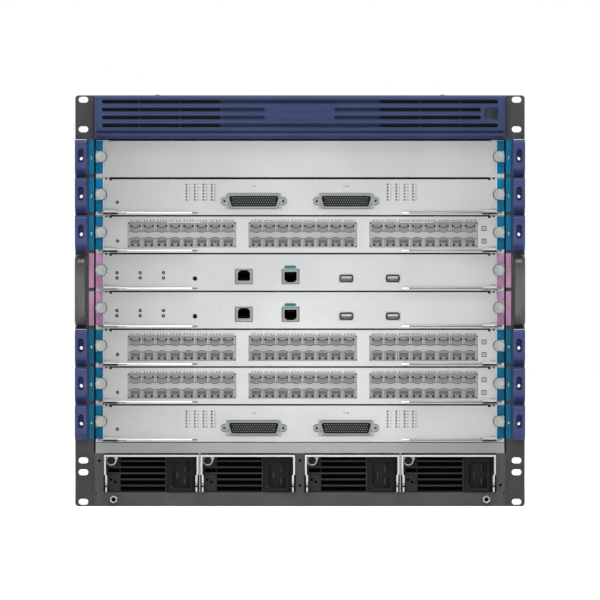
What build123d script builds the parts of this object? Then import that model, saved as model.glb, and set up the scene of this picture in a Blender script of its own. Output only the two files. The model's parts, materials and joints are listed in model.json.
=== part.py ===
"""Modular chassis switch, ten rack units high, for a 19 inch rack.

Millimetres. +Z is up, the front faces -Y and +X is to the right of someone facing the front.
The origin is on the underside, at the middle of the width and of the chassis depth.
Slots are counted from the top.
"""

import os

from build123d import *

# Overall sizes
body_width = 442.0
body_depth = 460.0
bar_height = 14.9
supply_bay_height = 42.1
lip_height = 11.5
slot_count = 8
slot_pitch = 40.6
inlet_height = 47.9

# Sheet thicknesses
side_sheet = 1.2
cover_sheet = 1.2
pan_sheet = 1.5
rear_sheet = 1.5
ear_sheet = 2.0
panel_sheet = 1.5
shelf_sheet = 1.5
flange_width = 12.0

# Clearances
running_gap = 0.3

# Rack ears
ear_width = 20.3
ear_leg = 48.0
ear_corner = 3.5
rack_hole_inset = 8.75
rack_slot_length = 11.0
rack_slot_width = 7.0
rack_hole_low = 4.7
rack_hole_steps = (0.0, 31.75, 44.45, 400.05, 431.8)

# Card panels
panel_side_gap = 1.8
panel_gap = 1.2
end_gap = 0.4
panel_end_width = 15.2
fold_depth = 9.0
relief_width = 2.2
relief_height = 1.6
strip_width = 7.7
strip_thickness = 0.6
strip_drop = 0.8
lower_strip_height = 12.5
block_height = 12.0
block_thickness = 3.0
knob_radius = 5.75
knob_flat_count = 12
knob_length = 8.0
knob_drop = 17.9
knob_inset = 5.6

# Boards and card guides
board_thickness = 2.4
board_rise = 4.4
board_setback = 3.0
spacer_width = 10.0
spacer_places = (-150.0, 0.0, 150.0)
guide_lip = 1.6
guide_web = 1.5
guide_reach = 7.3
screw_bracket_depth = 6.0
plug_width = 58.0
plug_height = 16.0
plug_depth = 14.0
plug_count = 3
plug_spacing = 129.8

# Ejector levers
lever_thickness = 1.6
lever_rise = 2.4
lever_width = 7.0
lever_pivot_inset = 12.2
lug_in = 11.2
lever_standoff = 6.0
left_lever_reach = 91.2
right_lever_reach = 97.5
claw_out = 7.0
claw_width = 3.6
claw_back = 5.0
window_in = 13.0
window_out = 9.5

# Small pluggable ports
port_rows = 2
port_pitch = 14.25
port_width = 12.9
port_height = 9.2
port_recess = 1.6
cage_height = 26.5
cage_depth = 48.0
cage_margin = 16.35
cage_gap = 14.1
cage_offset = 3.0

# D connectors
shell_width = 57.0
shell_height = 15.6
shell_stand = 5.0
mouth_width = 52.1
mouth_height = 10.9
mouth_slope = 2.4
insert_setback = 4.0
shell_depth = 24.0
shell_offset = 49.6
shell_drop = 25.2
jack_offset = 33.0
jack_hexagon = 4.8

# Network, USB and reset openings of a supervisor card
net_width = 18.4
net_height = 15.2
net_depth = 21.0
net_mouth_width = 13.0
net_mouth_height = 9.0
net_notch_width = 6.0
net_notch_height = 3.6
net_mouth_depth = 15.0
net_places = (-60.25, -10.15)
net_drop = 24.6
usb_width = 16.0
usb_height = 8.6
usb_depth = 18.0
usb_tongue = 2.2
usb_places = (49.8, 99.7)
usb_drop = 26.9
button_place = -112.8
button_drop = 27.0
button_radius = 2.0
button_length = 4.5
button_travel = 1.5

# Backplane and fan trays
fan_space = 100.0
backplane_thickness = 4.0
vent_width = 40.0
vent_height = 12.0
grille_rows = 4
grille_slot = 4.0
fan_margin = 12.0
fan_depth = 50.0
tray_margin = 11.5
tray_height = 246.0
tray_low = 118.0
tray_flange = 3.0
guard_bar = 5.0
guard_gap = 10.0
hub_radius = 32.0
blade_count = 7
blade_chord = 24.0
blade_sheet = 2.4
rotor_setback = 4.0
blade_pitch_angle = 38.0
tip_gap = 3.0
bow_width = 100.0
bow_reach = 26.0
bow_bar = 6.0
bow_rise = 14.0

# Air inlet bezel
bezel_side_gap = 0.7
bezel_inset = 0.9
bezel_depth = 14.0
bezel_wall = 2.5
bezel_round = 3.0
bezel_slot_height = 3.9
bezel_slot_pitch = 8.47
bezel_slot_rows = 4
bezel_slot_drop = 6.0
bezel_slot_inset = 8.1
bezel_lean = 2.5
groove_rise = 7.2
groove_half = 1.0
badge_half_width = 38.0
window_width = 15.0
window_height = 13.0
window_gap = 3.2
window_sheet = 0.4
bezel_rib = 1.6
bezel_rib_pitch = 43.05
filter_thickness = 8.0

# Power bay and power supplies
post_half_width = 4.6
post_gap = 0.7
outer_post_width = 8.9
divider_sheet = 1.5
supply_count = 4
supply_height = 40.0
supply_depth = 300.0
louvre_left = 17.4
louvre_to_inlet = 2.4
louvre_gap = 4.8
louvre_rib = 1.8
louvre_count = 6
louvre_depth = 6.0
inlet_inset = 5.4
inlet_width = 28.0
inlet_block_height = 36.4
inlet_stand = 1.5
inlet_mouth_width = 21.2
inlet_mouth_height = 30.3
inlet_mouth_depth = 18.0
inlet_corner = 4.24
blade_thickness = 2.0
blade_height = 8.0
blade_length = 15.0
blade_places = ((-3.8, 0.0), (4.0, 6.89), (4.0, -6.89))
screw_corner_width = 12.3
screw_corner_height = 11.7
screw_corner_drop = 8.35
screw_corner_sheet = 1.0
supply_screw_length = 5.0
supply_screw_radius = 3.65
bail_thickness = 2.0
bail_depth = 9.0
bail_pivot_rise = 10.4
bail_end = 3.6
bail_joggle = 1.3
bail_joggle_rise = 17.8

# Cable managers and carry handles
hook_width = 12.6
hook_reach = 36.0
hook_arm = 3.2
hook_head = 4.0
hook_drop = 38.3
hook_mouth = 9.0
hook_base = 3.0
hook_corner = 4.0
hook_tip = 2.4
hook_taper = 3.6
hook_side_gap = 0.6
hook_slot_width = 5.6
hook_slot_height = 14.8
hook_slot_drop = 17.5
hook_hole_radius = 1.95
hook_hole_drop = 20.3
handle_width = 13.2
handle_reach = 38.0
handle_bar = 14.0
handle_length = 77.7
handle_corner = 12.0

# Number strips and side vents
label_width = 5.6
label_height = 36.8
label_thickness = 0.6
side_vent_length = 42.0
side_vent_height = 5.0
side_vent_columns = 3
side_vent_rise = 24.0
jack_across = 7.9
jack_length = 12.0
jack_inset = 19.8
cover_screw_radius = 2.7
cover_screw_height = 1.3
cover_screw_place = 153.0

# Positions worked out from the sizes
x_out = body_width / 2
x_in = x_out - side_sheet
rack_width = body_width + 2 * ear_width
y_face = -body_depth / 2
y_rear = body_depth / 2
z_bay = bar_height
z_deck = z_bay + supply_bay_height
z_slots = z_deck + lip_height
z_inlet = z_slots + slot_count * slot_pitch
z_top = z_inlet + inlet_height
y_backplane = y_rear - fan_space
y_board = y_face + panel_sheet + board_setback
y_plug = y_backplane - plug_depth - running_gap
x_ear = (rack_width / 2 + x_out) / 2
x_hook = rack_width / 2 - hook_width / 2 - hook_side_gap
panel_width = body_width - 2 * panel_side_gap
fold_half_width = panel_width / 2 - panel_end_width
x_knob = panel_width / 2 - knob_inset
x_pivot = panel_width / 2 - lever_pivot_inset
y_pivot = y_face - lever_standoff
y_shelf = y_face + supply_depth
cage_width = (2 * fold_half_width - 2 * cage_margin - 2 * cage_gap) / 3
cage_spacing = cage_width + cage_gap
port_columns = int(cage_width / port_pitch)
tray_width = x_in - tray_margin - running_gap
fan_radius = tray_width / 2 - fan_margin
bezel_width = body_width - 2 * bezel_side_gap
bezel_slot_half = bezel_width / 2 - bezel_slot_inset
supply_pair = x_in - outer_post_width - 2 * post_gap - post_half_width
supply_width = (supply_pair - 2 * running_gap - divider_sheet) / 2
louvre_width = supply_width - louvre_left - louvre_to_inlet - inlet_width - inlet_inset

blank_slots = (1,)
shell_slots = (2, 8)
port_slots = (3, 6, 7)
supervisor_slots = (4, 5)
card_slots = tuple(k for k in range(1, slot_count + 1) if k not in blank_slots)


def slot_floor(slot):
    """Height of the bottom line of a slot."""
    return z_inlet - slot * slot_pitch


def slot_line(slot):
    """Height of the top line of a slot."""
    return slot_floor(slot) + slot_pitch


def from_front(outline, y_start, thickness):
    """Turn a front-view outline into a solid that runs back from y_start."""
    return extrude(Plane.XZ.offset(-y_start) * outline, -thickness)


def from_side(points, x_start, x_end):
    """Turn a side-view outline of (y, z) points into a solid between two x places."""
    outline = make_face(Polyline(*points, close=True))
    return extrude(Plane.YZ.offset(x_start) * outline, x_end - x_start)


def from_top(points, z_start, thickness):
    """Turn a plan of (x, y) points into a solid that stands on z_start."""
    return extrude(Plane.XY.offset(z_start) * make_face(Polyline(*points, close=True)), thickness)


def slab(x_range, y_range, z_range):
    """A plain rectangular piece between two corners."""
    size = [high - low for low, high in (x_range, y_range, z_range)]
    middle = [(high + low) / 2 for low, high in (x_range, y_range, z_range)]
    return Pos(*middle) * Box(*size)


def rod(x, z, y_start, radius, length):
    """A round rod along Y that runs back from y_start."""
    return from_front(Pos(x, z) * Circle(radius), y_start, length)


def both_sides(piece):
    """The piece and its mirror image on the other side of the middle."""
    return [piece, mirror(piece, Plane.YZ)]


# Chassis sheets

def bottom_pan():
    """Folded tray that closes the underside."""
    flange = pan_sheet + flange_width
    points = [(-x_in, 0), (x_in, 0), (x_in, flange), (x_in - pan_sheet, flange)]
    points += [(x_in - pan_sheet, pan_sheet), (-x_in + pan_sheet, pan_sheet)]
    points += [(-x_in + pan_sheet, flange), (-x_in, flange)]
    return from_front(make_face(Polyline(*points, close=True)), y_face, body_depth - rear_sheet)


def top_cover():
    """Folded cover that closes the top."""
    low = z_top - cover_sheet
    flange = low - flange_width
    points = [(-x_in, z_top), (x_in, z_top), (x_in, flange), (x_in - cover_sheet, flange)]
    points += [(x_in - cover_sheet, low), (-x_in + cover_sheet, low)]
    points += [(-x_in + cover_sheet, flange), (-x_in, flange)]
    return from_front(make_face(Polyline(*points, close=True)), y_face, body_depth - rear_sheet)


def side_plate(side):
    """Side sheet with rows of air slots beside the cards."""
    plate = slab((x_in, x_out), (y_face, y_rear), (0, z_top))
    pitch = (y_plug - y_board) / side_vent_columns
    columns = [y_board + pitch * (i + 0.5) for i in range(side_vent_columns)]
    rows = [slot_floor(slot) + side_vent_rise for slot in card_slots]
    holes = [Pos(y, z) * Rectangle(side_vent_length, side_vent_height) for y in columns for z in rows]
    plate -= extrude(Plane.YZ.offset(x_in) * Sketch(children=holes), side_sheet)
    return plate if side > 0 else mirror(plate, Plane.YZ)


def rear_panel():
    """Rear sheet with two fan tray openings and an air grille for each power supply."""
    outline = Pos(0, (pan_sheet + z_top) / 2) * Rectangle(2 * x_in, z_top - pan_sheet)
    for side in (-1, 1):
        place = Pos(side * tray_centre_x(), tray_centre_z())
        width = tray_width - 2 * tray_flange + 2 * running_gap
        height = tray_height - 2 * tray_flange + 2 * running_gap
        outline -= place * Rectangle(width, height)
    for index in range(supply_count):
        middle = supply_left(index) + supply_width / 2
        for row in range(1, grille_rows + 1):
            height = z_bay + supply_height * row / (grille_rows + 1)
            outline -= Pos(middle, height) * Rectangle(vent_width, grille_slot)
    return from_front(outline, y_rear - rear_sheet, rear_sheet)


def rack_ear(side):
    """Angle bracket with slotted rack holes and holes for what is screwed to it."""
    width = rack_width / 2 - x_out
    flange = Pos(x_ear, z_top / 2) * Rectangle(width, z_top)
    outer = [v for v in flange.vertices() if v.X > x_ear]
    flange = fillet(outer, ear_corner)
    for step in rack_hole_steps:
        place = Pos(rack_width / 2 - rack_hole_inset, rack_hole_low + step)
        flange -= place * SlotOverall(rack_slot_length, rack_slot_width)
    ear = from_front(flange, y_face, ear_sheet)
    ear += slab((x_out, x_out + ear_sheet), (y_face, y_face + ear_leg), (0, z_top))
    return ear if side > 0 else mirror(ear, Plane.YZ)


def module_shelf():
    """Folded shelf between the power bay and the cards, with a deep front lip."""
    low = z_deck
    high = z_slots - running_gap
    back = y_backplane
    t = shelf_sheet
    points = [(y_face, low), (y_face + 2 * flange_width, low), (y_face + 2 * flange_width, low + t)]
    points += [(y_face + t, low + t), (y_face + t, high - t), (back, high - t), (back, high)]
    points += [(y_face, high)]
    return from_side(points, -x_in, x_in)


# Power bay

def supply_left(index):
    """Left edge of a power supply, counted from the left."""
    pitch = supply_width + 2 * running_gap + divider_sheet
    inner = post_half_width + post_gap
    return (-inner - supply_width - pitch, -inner - supply_width, inner, inner + pitch)[index]


def power_bay_frame():
    """Floor with its front bar, the posts and the dividers between the power supplies."""
    t = shelf_sheet
    back = y_shelf
    floor = [(y_face, pan_sheet), (y_face, z_bay), (back, z_bay), (back, pan_sheet)]
    floor += [(back - t, pan_sheet), (back - t, z_bay - t), (y_face + t, z_bay - t)]
    floor += [(y_face + t, pan_sheet)]
    solids = [from_side(floor, -x_in + pan_sheet, x_in - pan_sheet)]
    legs = post_half_width
    post = [(-legs, back), (-legs, y_face), (legs, y_face), (legs, back)]
    post += [(legs - t, back), (legs - t, y_face + t), (-legs + t, y_face + t), (-legs + t, back)]
    solids.append(from_top(post, z_bay, supply_bay_height))
    inner = x_in - outer_post_width
    outer = [(inner, y_face), (x_in, y_face), (x_in, y_face + 2 * flange_width)]
    outer += [(x_in - t, y_face + 2 * flange_width), (x_in - t, y_face + t), (inner, y_face + t)]
    solids += both_sides(from_top(outer, z_bay, supply_bay_height))
    low = supply_left(2) + supply_width + running_gap
    divider = slab((low, low + divider_sheet), (y_face + t, back), (z_bay, z_deck))
    solids += both_sides(divider)
    return Compound(children=solids)


def power_supply(index):
    """Plug-in power supply: louvred face, AC inlet with three blades and a captive screw."""
    left = supply_left(index)
    low = z_bay + running_gap
    body = slab((left, left + supply_width), (y_face, y_face + supply_depth), (low, low + supply_height))
    pitch = louvre_gap + louvre_rib
    middle = left + louvre_left + louvre_width / 2
    first = low + (supply_height - louvre_count * pitch + louvre_rib) / 2 + louvre_gap / 2
    heights = [first + pitch * i for i in range(louvre_count)]
    slots = [Pos(middle, height) * Rectangle(louvre_width, louvre_gap) for height in heights]
    body -= from_front(Sketch(children=slots), y_face, louvre_depth)
    plug_x = left + supply_width - inlet_inset - inlet_width / 2
    plug_z = low + inlet_block_height / 2
    block = Pos(plug_x, plug_z) * Rectangle(inlet_width, inlet_block_height)
    body += from_front(block, y_face - inlet_stand, inlet_stand)
    mouth = Pos(plug_x, plug_z) * Rectangle(inlet_mouth_width, inlet_mouth_height)
    corners = [v for v in mouth.vertices() if v.X < plug_x]
    mouth = chamfer(corners, inlet_corner)
    body -= from_front(mouth, y_face - inlet_stand, inlet_mouth_depth)
    blade_start = y_face - inlet_stand + inlet_mouth_depth - blade_length
    for x, z in blade_places:
        blade = Pos(plug_x + x, plug_z + z) * Rectangle(blade_thickness, blade_height)
        body += from_front(blade, blade_start, blade_length)
    tab_top = low + bail_pivot_rise - bail_depth / 2 - running_gap
    for start in (left + bail_joggle, left + supply_width - bail_joggle - bail_thickness):
        body += slab((start, start + bail_thickness), (y_face - bail_depth, y_face), (low, tab_top))
    corner_x = left + bail_thickness + bail_joggle + screw_corner_width / 2
    corner_z = low + supply_height - screw_corner_drop
    corner = Pos(corner_x, corner_z) * Rectangle(screw_corner_width, screw_corner_height)
    body += from_front(corner, y_face - screw_corner_sheet, screw_corner_sheet)
    head = Pos(corner_x, corner_z) * RegularPolygon(supply_screw_radius, knob_flat_count)
    body += from_front(head, y_face - screw_corner_sheet - supply_screw_length, supply_screw_length)
    return body


def supply_bail(index):
    """Flat U-shaped handle that stands against the face and swings forward on two pivots."""
    low = z_bay + running_gap
    left = supply_left(index)
    right = left + supply_width
    top = low + supply_height
    t = bail_thickness
    joggle = low + bail_joggle_rise
    pivot = low + bail_pivot_rise
    foot = pivot - bail_end
    step = bail_joggle
    outer = [(left, top), (right, top), (right, joggle + step), (right - step, joggle)]
    outer += [(right - step, foot), (right - step - t, foot), (right - step - t, joggle)]
    outer += [(right - t, joggle + step), (right - t, top - t), (left + t, top - t)]
    outer += [(left + t, joggle + step), (left + step + t, joggle), (left + step + t, foot)]
    outer += [(left + step, foot), (left + step, joggle), (left, joggle + step)]
    face = make_face(Polyline(*outer, close=True))
    bail = from_front(face, y_face - running_gap - bail_depth, bail_depth)
    half = bail_depth / 2
    centre = y_face - running_gap - half
    flank = [(centre - half, top), (centre - half, pivot), (centre - 0.6 * half, foot)]
    flank += [(centre + 0.6 * half, foot), (centre + half, pivot), (centre + half, top)]
    return bail & from_side(flank, left, right)


# Cards

def panel_shell(slot):
    """Folded panel: a front wall with returns above and below, and flat ends for the screws."""
    floor = slot_floor(slot)
    low = floor + panel_gap / 2
    high = floor + slot_pitch - panel_gap / 2
    t = panel_sheet
    back = y_face + fold_depth
    wall = [(y_face, low), (y_face, high), (back, high), (back, high - t), (y_face + t, high - t)]
    wall += [(y_face + t, low + t), (back, low + t), (back, low)]
    shell = from_side(wall, -fold_half_width, fold_half_width)
    end_width = panel_width / 2 - fold_half_width
    end_height = slot_pitch - end_gap
    place = Pos(fold_half_width + end_width / 2, floor + slot_pitch / 2)
    end = place * Rectangle(end_width, end_height)
    end -= Pos(fold_half_width, high) * Rectangle(relief_width, 2 * relief_height)
    shell = shell.fuse(*both_sides(from_front(end, y_face, t)))
    return shell


def panel_ends(slot):
    """Screw blocks, captive knobs and coloured strips at both ends of a panel."""
    line = slot_line(slot)
    centre = line - knob_drop
    right = panel_width / 2
    x_range = (right - strip_width, right)
    block_y = (y_face - block_thickness, y_face)
    block = slab(x_range, block_y, (centre - block_height / 2, centre + block_height / 2))
    grip = Pos(x_knob, centre) * RegularPolygon(knob_radius, knob_flat_count)
    knob = from_front(grip, y_face - block_thickness - knob_length, knob_length)
    strip_y = (y_face - strip_thickness, y_face)
    under = centre - block_height / 2
    upper = slab(x_range, strip_y, (centre + block_height / 2, line - strip_drop))
    lower = slab(x_range, strip_y, (under - lower_strip_height, under))
    solids = []
    for piece in (block, knob, upper, lower):
        solids += both_sides(piece)
    return solids


def lever_bracket(slot):
    """Lugs above and below each ejector lever, at both ends of a panel."""
    floor = slot_floor(slot)
    x_range = (x_pivot - lug_in, panel_width / 2 - strip_width)
    y_range = (y_face - lever_standoff - lever_width / 2, y_face)
    low = floor + lever_rise - running_gap
    high = floor + lever_rise + lever_thickness + running_gap
    lower = slab(x_range, y_range, (floor + panel_gap / 2, low))
    upper = slab(x_range, y_range, (high, high + panel_sheet))
    return both_sides(lower) + both_sides(upper)


def claw_windows(slot):
    """Openings that the claws of the levers swing through."""
    floor = slot_floor(slot)
    z_range = (floor + panel_gap / 2 + panel_sheet, floor + lever_rise + lever_thickness + 0.5)
    window = slab((x_pivot - window_in, x_pivot + window_out), (y_face, y_face + panel_sheet), z_range)
    return both_sides(window)


def cage_places(slot):
    """Centres of the three port cages of a port card."""
    middle = slot_floor(slot) + board_rise + board_thickness + cage_height / 2
    return [(cage_offset + cage_spacing * i, middle) for i in (-1, 0, 1)]


def shell_places(slot):
    """Centres of the two D connectors."""
    return [(side * shell_offset, slot_line(slot) - shell_drop) for side in (-1, 1)]


def port_cage(x, z):
    """Cage with two rows of ports, each closed by a plug set a little back."""
    cage = from_front(Pos(x, z) * Rectangle(cage_width, cage_height), y_face - running_gap, cage_depth)
    openings = []
    for row in range(port_rows):
        for column in range(port_columns):
            px = x + port_pitch * (column - (port_columns - 1) / 2)
            pz = z + (row - 0.5) * (cage_height / 2 + 1.5)
            openings.append(Pos(px, pz) * Rectangle(port_width, port_height))
    return cage - from_front(Sketch(children=openings), y_face - running_gap, port_recess)


def mouth_outline(width, height, slope):
    """The D outline of a connector, wider along its top."""
    half = width / 2
    points = [(-half, height / 2), (half, height / 2), (half - slope, -height / 2)]
    points += [(-half + slope, -height / 2)]
    return make_face(Polyline(*points, close=True))


def d_connector(x, z):
    """Metal shell with its flange and jack screws around a recessed insert."""
    front = y_face - shell_stand
    outer = mouth_outline(shell_width, shell_height, mouth_slope)
    outer = chamfer(outer.vertices(), mouth_slope)
    inner = mouth_outline(mouth_width, mouth_height, mouth_slope)
    body = from_front(Pos(x, z) * outer, front, shell_depth + shell_stand)
    body -= from_front(Pos(x, z) * inner, front, insert_setback)
    hexagon = RegularPolygon(jack_hexagon / 2, 6, major_radius=False)
    jacks = [Pos(x + side * jack_offset, z) * hexagon for side in (-1, 1)]
    return [body] + [from_front(jack, front, shell_stand) for jack in jacks]


def net_port(x, z, notch_side):
    """Shielded network jack with a cavity and a latch notch."""
    body = from_front(Pos(x, z) * Rectangle(net_width, net_height), y_face - running_gap, net_depth)
    mouth = Pos(x, z) * Rectangle(net_mouth_width, net_mouth_height)
    notch_z = z + notch_side * (net_mouth_height + net_notch_height) / 2
    mouth += Pos(x, notch_z) * Rectangle(net_notch_width, net_notch_height)
    return body - from_front(mouth, y_face - running_gap, net_mouth_depth)


def usb_port(x, z):
    """USB jack with its tongue."""
    body = from_front(Pos(x, z) * Rectangle(usb_width - 1.0, usb_height - 1.0), y_face, usb_depth)
    cavity = Pos(x, z) * Rectangle(usb_width - 2.6, usb_height - 2.6)
    tongue = Pos(x, z + usb_tongue / 2) * Rectangle(usb_width - 5.0, usb_tongue)
    return body - from_front(cavity - tongue, y_face, usb_depth / 2)


def panel_openings(slot):
    """Front-view outlines of everything that looks out through a panel."""
    if slot in shell_slots:
        return [
            Pos(x, z) * Rectangle(shell_width + 2 * running_gap, shell_height + 2 * running_gap)
            for x, z in shell_places(slot)
        ]
    if slot in port_slots:
        return [
            Pos(x, z) * Rectangle(cage_width + 2 * running_gap, cage_height + 2 * running_gap)
            for x, z in cage_places(slot)
        ]
    if slot in supervisor_slots:
        line = slot_line(slot)
        outlines = [
            Pos(x, line - net_drop) * Rectangle(net_width + 2 * running_gap, net_height + 2 * running_gap)
            for x in net_places
        ]
        outlines += [Pos(x, line - usb_drop) * Rectangle(usb_width, usb_height) for x in usb_places]
        outlines.append(Pos(button_place, line - button_drop) * Circle(button_radius + running_gap))
        return outlines
    return []


def card_panel(slot):
    """The panel of one slot with what is fixed to it."""
    shell = panel_shell(slot)
    openings = panel_openings(slot)
    if openings:
        shell -= from_front(Sketch(children=openings), y_face, panel_sheet)
    solids = []
    if slot in card_slots:
        shell -= claw_windows(slot)
        solids += lever_bracket(slot)
    if slot in shell_slots:
        for x, z in shell_places(slot):
            solids += d_connector(x, z)
    return Compound(children=[shell] + solids + panel_ends(slot))


def board(slot):
    """Printed board with its front ports and rear connectors."""
    low = slot_floor(slot) + board_rise
    top = low + board_thickness
    half = x_in - guide_web - 0.8
    plate = slab((-half, half), (y_board, y_plug), (low, top))
    solids = [plate]
    for x in spacer_places:
        x_range = (x - spacer_width / 2, x + spacer_width / 2)
        under = slot_floor(slot) + panel_gap / 2 + panel_sheet
        solids.append(slab(x_range, (y_board, y_face + fold_depth), (under, low)))
    for index in range(plug_count):
        x = plug_spacing * (index - (plug_count - 1) / 2)
        x_range = (x - plug_width / 2, x + plug_width / 2)
        solids.append(slab(x_range, (y_plug - plug_depth, y_plug), (top, top + plug_height)))
    if slot in port_slots:
        solids += [port_cage(x, z) for x, z in cage_places(slot)]
    if slot in supervisor_slots:
        line = slot_line(slot)
        for x, notch_side in zip(net_places, (1, -1)):
            solids.append(net_port(x, line - net_drop, notch_side))
        solids += [usb_port(x, line - usb_drop) for x in usb_places]
        switch_y = y_face + button_length + button_travel + 3 * running_gap
        x_range = (button_place - button_radius, button_place + button_radius)
        z_range = (top, line - button_drop + button_radius)
        solids.append(slab(x_range, (switch_y, switch_y + button_length), z_range))
    return Compound(children=solids)


def reset_button(slot):
    """Recessed round button of a supervisor card."""
    centre = slot_line(slot) - button_drop
    return rod(button_place, centre, y_face + running_gap, button_radius, button_length)


def ejector_lever(slot, side):
    """Stamped lever with a claw that reaches through the panel."""
    floor = slot_floor(slot)
    reach = left_lever_reach if side < 0 else right_lever_reach
    half = lever_width / 2
    claw_y = lever_standoff + panel_sheet + claw_back
    points = [(-reach, -half), (half, -half), (claw_out + claw_width / 2, half)]
    points += [(claw_out + claw_width / 2, claw_y), (claw_out - claw_width / 2, claw_y)]
    points += [(claw_out - claw_width / 2, half), (-reach, half)]
    lever = from_top(points, floor + lever_rise, lever_thickness)
    lever = Pos(x_pivot, y_pivot) * lever
    return lever if side > 0 else mirror(lever, Plane.YZ)


# Inside the card bay

def card_guides():
    """Channels on the side plates for the boards, and brackets that the captive screws go into."""
    claw_y = lever_standoff + panel_sheet + claw_back
    claw_x = claw_out + claw_width / 2
    sweep = (claw_y**2 + claw_x**2) ** 0.5
    start = y_pivot + sweep + running_gap
    solids = []
    for slot in card_slots:
        low = slot_floor(slot) + board_rise - running_gap
        high = low + board_thickness + 2 * running_gap
        inner = x_in - guide_web - guide_reach
        points = [(inner, low - guide_lip), (x_in, low - guide_lip), (x_in, high + guide_lip)]
        points += [(inner, high + guide_lip), (inner, high), (x_in - guide_web, high)]
        points += [(x_in - guide_web, low), (inner, low)]
        rail = from_front(make_face(Polyline(*points, close=True)), start, y_backplane - start)
        solids += both_sides(rail)
    for slot in range(1, slot_count + 1):
        centre = slot_line(slot) - knob_drop
        back = y_face + panel_sheet + running_gap
        y_range = (back, back + screw_bracket_depth)
        z_range = (centre - block_height / 2, centre + block_height / 2)
        solids += both_sides(slab((x_in - strip_width, x_in), y_range, z_range))
    return Compound(children=solids)


def backplane():
    """Board across the card bay with a row of connectors and air windows for each slot."""
    height = z_inlet - z_slots
    outline = Pos(0, z_slots + height / 2) * Rectangle(2 * x_in, height)
    solids = []
    for slot in card_slots:
        top = slot_floor(slot) + board_rise + board_thickness
        for index in range(plug_count):
            x = plug_spacing * (index - (plug_count - 1) / 2)
            x_range = (x - plug_width / 2, x + plug_width / 2)
            solids.append(slab(x_range, (y_plug + running_gap, y_backplane), (top, top + plug_height)))
            centre = (top + plug_height + slot_line(slot) + board_rise) / 2
            outline -= Pos(x, centre) * Rectangle(vent_width, vent_height)
    plate = from_front(outline, y_backplane, backplane_thickness)
    return Compound(children=[plate] + solids)


# Fan trays

def tray_centre_x():
    """Distance of a fan tray's centre from the middle."""
    return tray_width / 2 + running_gap


def tray_centre_z():
    """Height of a fan tray's centre."""
    return tray_low + tray_height / 2


def fan_centre_z():
    """Height of a fan's axis."""
    return tray_low + tray_height - tray_width / 2


def fan_tray(side):
    """Pull-out tray: a duct, a face plate with a barred finger guard, and a bow handle."""
    x = side * tray_centre_x()
    z = fan_centre_z()
    width = tray_width - 2 * tray_flange
    height = tray_height - 2 * tray_flange
    duct = Pos(x, tray_centre_z()) * Rectangle(width, height)
    duct -= Pos(x, z) * Circle(fan_radius + tip_gap)
    body = from_front(duct, y_rear - fan_depth, fan_depth)
    face = Pos(x, tray_centre_z()) * Rectangle(tray_width, tray_height)
    pitch = guard_gap + guard_bar
    rows = int((fan_radius - guard_gap) / pitch)
    for row in range(-rows, rows + 1):
        half = (fan_radius**2 - (abs(row) * pitch + guard_gap / 2) ** 2) ** 0.5
        middle = (half + guard_bar / 2) / 2
        for end in (-1, 1):
            face -= Pos(x + end * middle, z + row * pitch) * Rectangle(half - guard_bar / 2, guard_gap)
    body += from_front(face, y_rear, rear_sheet)
    body += rod(x, z, y_rear - fan_depth / 2, hub_radius - 4, fan_depth / 2)
    grip = tray_low + tray_flange + bow_rise
    back = y_rear + rear_sheet
    half = bow_width / 2
    inner = half - bow_bar
    bow = [(x - half, back), (x - half, back + bow_reach), (x + half, back + bow_reach), (x + half, back)]
    bow += [(x + inner, back), (x + inner, back + bow_reach - bow_bar)]
    bow += [(x - inner, back + bow_reach - bow_bar), (x - inner, back)]
    body += from_top(bow, grip - bow_bar, 2 * bow_bar)
    return body


def fan_rotor(side):
    """Hub in front of the motor with pitched blades."""
    x = side * tray_centre_x()
    z = fan_centre_z()
    front = y_rear - fan_depth + rotor_setback
    depth = fan_depth / 2 - rotor_setback - running_gap
    hub = rod(x, z, front, hub_radius, depth)
    root = hub_radius - 4
    span = fan_radius - root
    blade = Rot(0, 0, blade_pitch_angle) * Box(blade_sheet, blade_chord, span)
    blade = Pos(0, 0, root + span / 2) * blade
    middle = front + depth / 2
    for index in range(blade_count):
        turned = Rot(0, 360 * index / blade_count, 0) * blade
        hub += Pos(x, middle, z) * turned
    return hub


# Front trim

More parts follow.
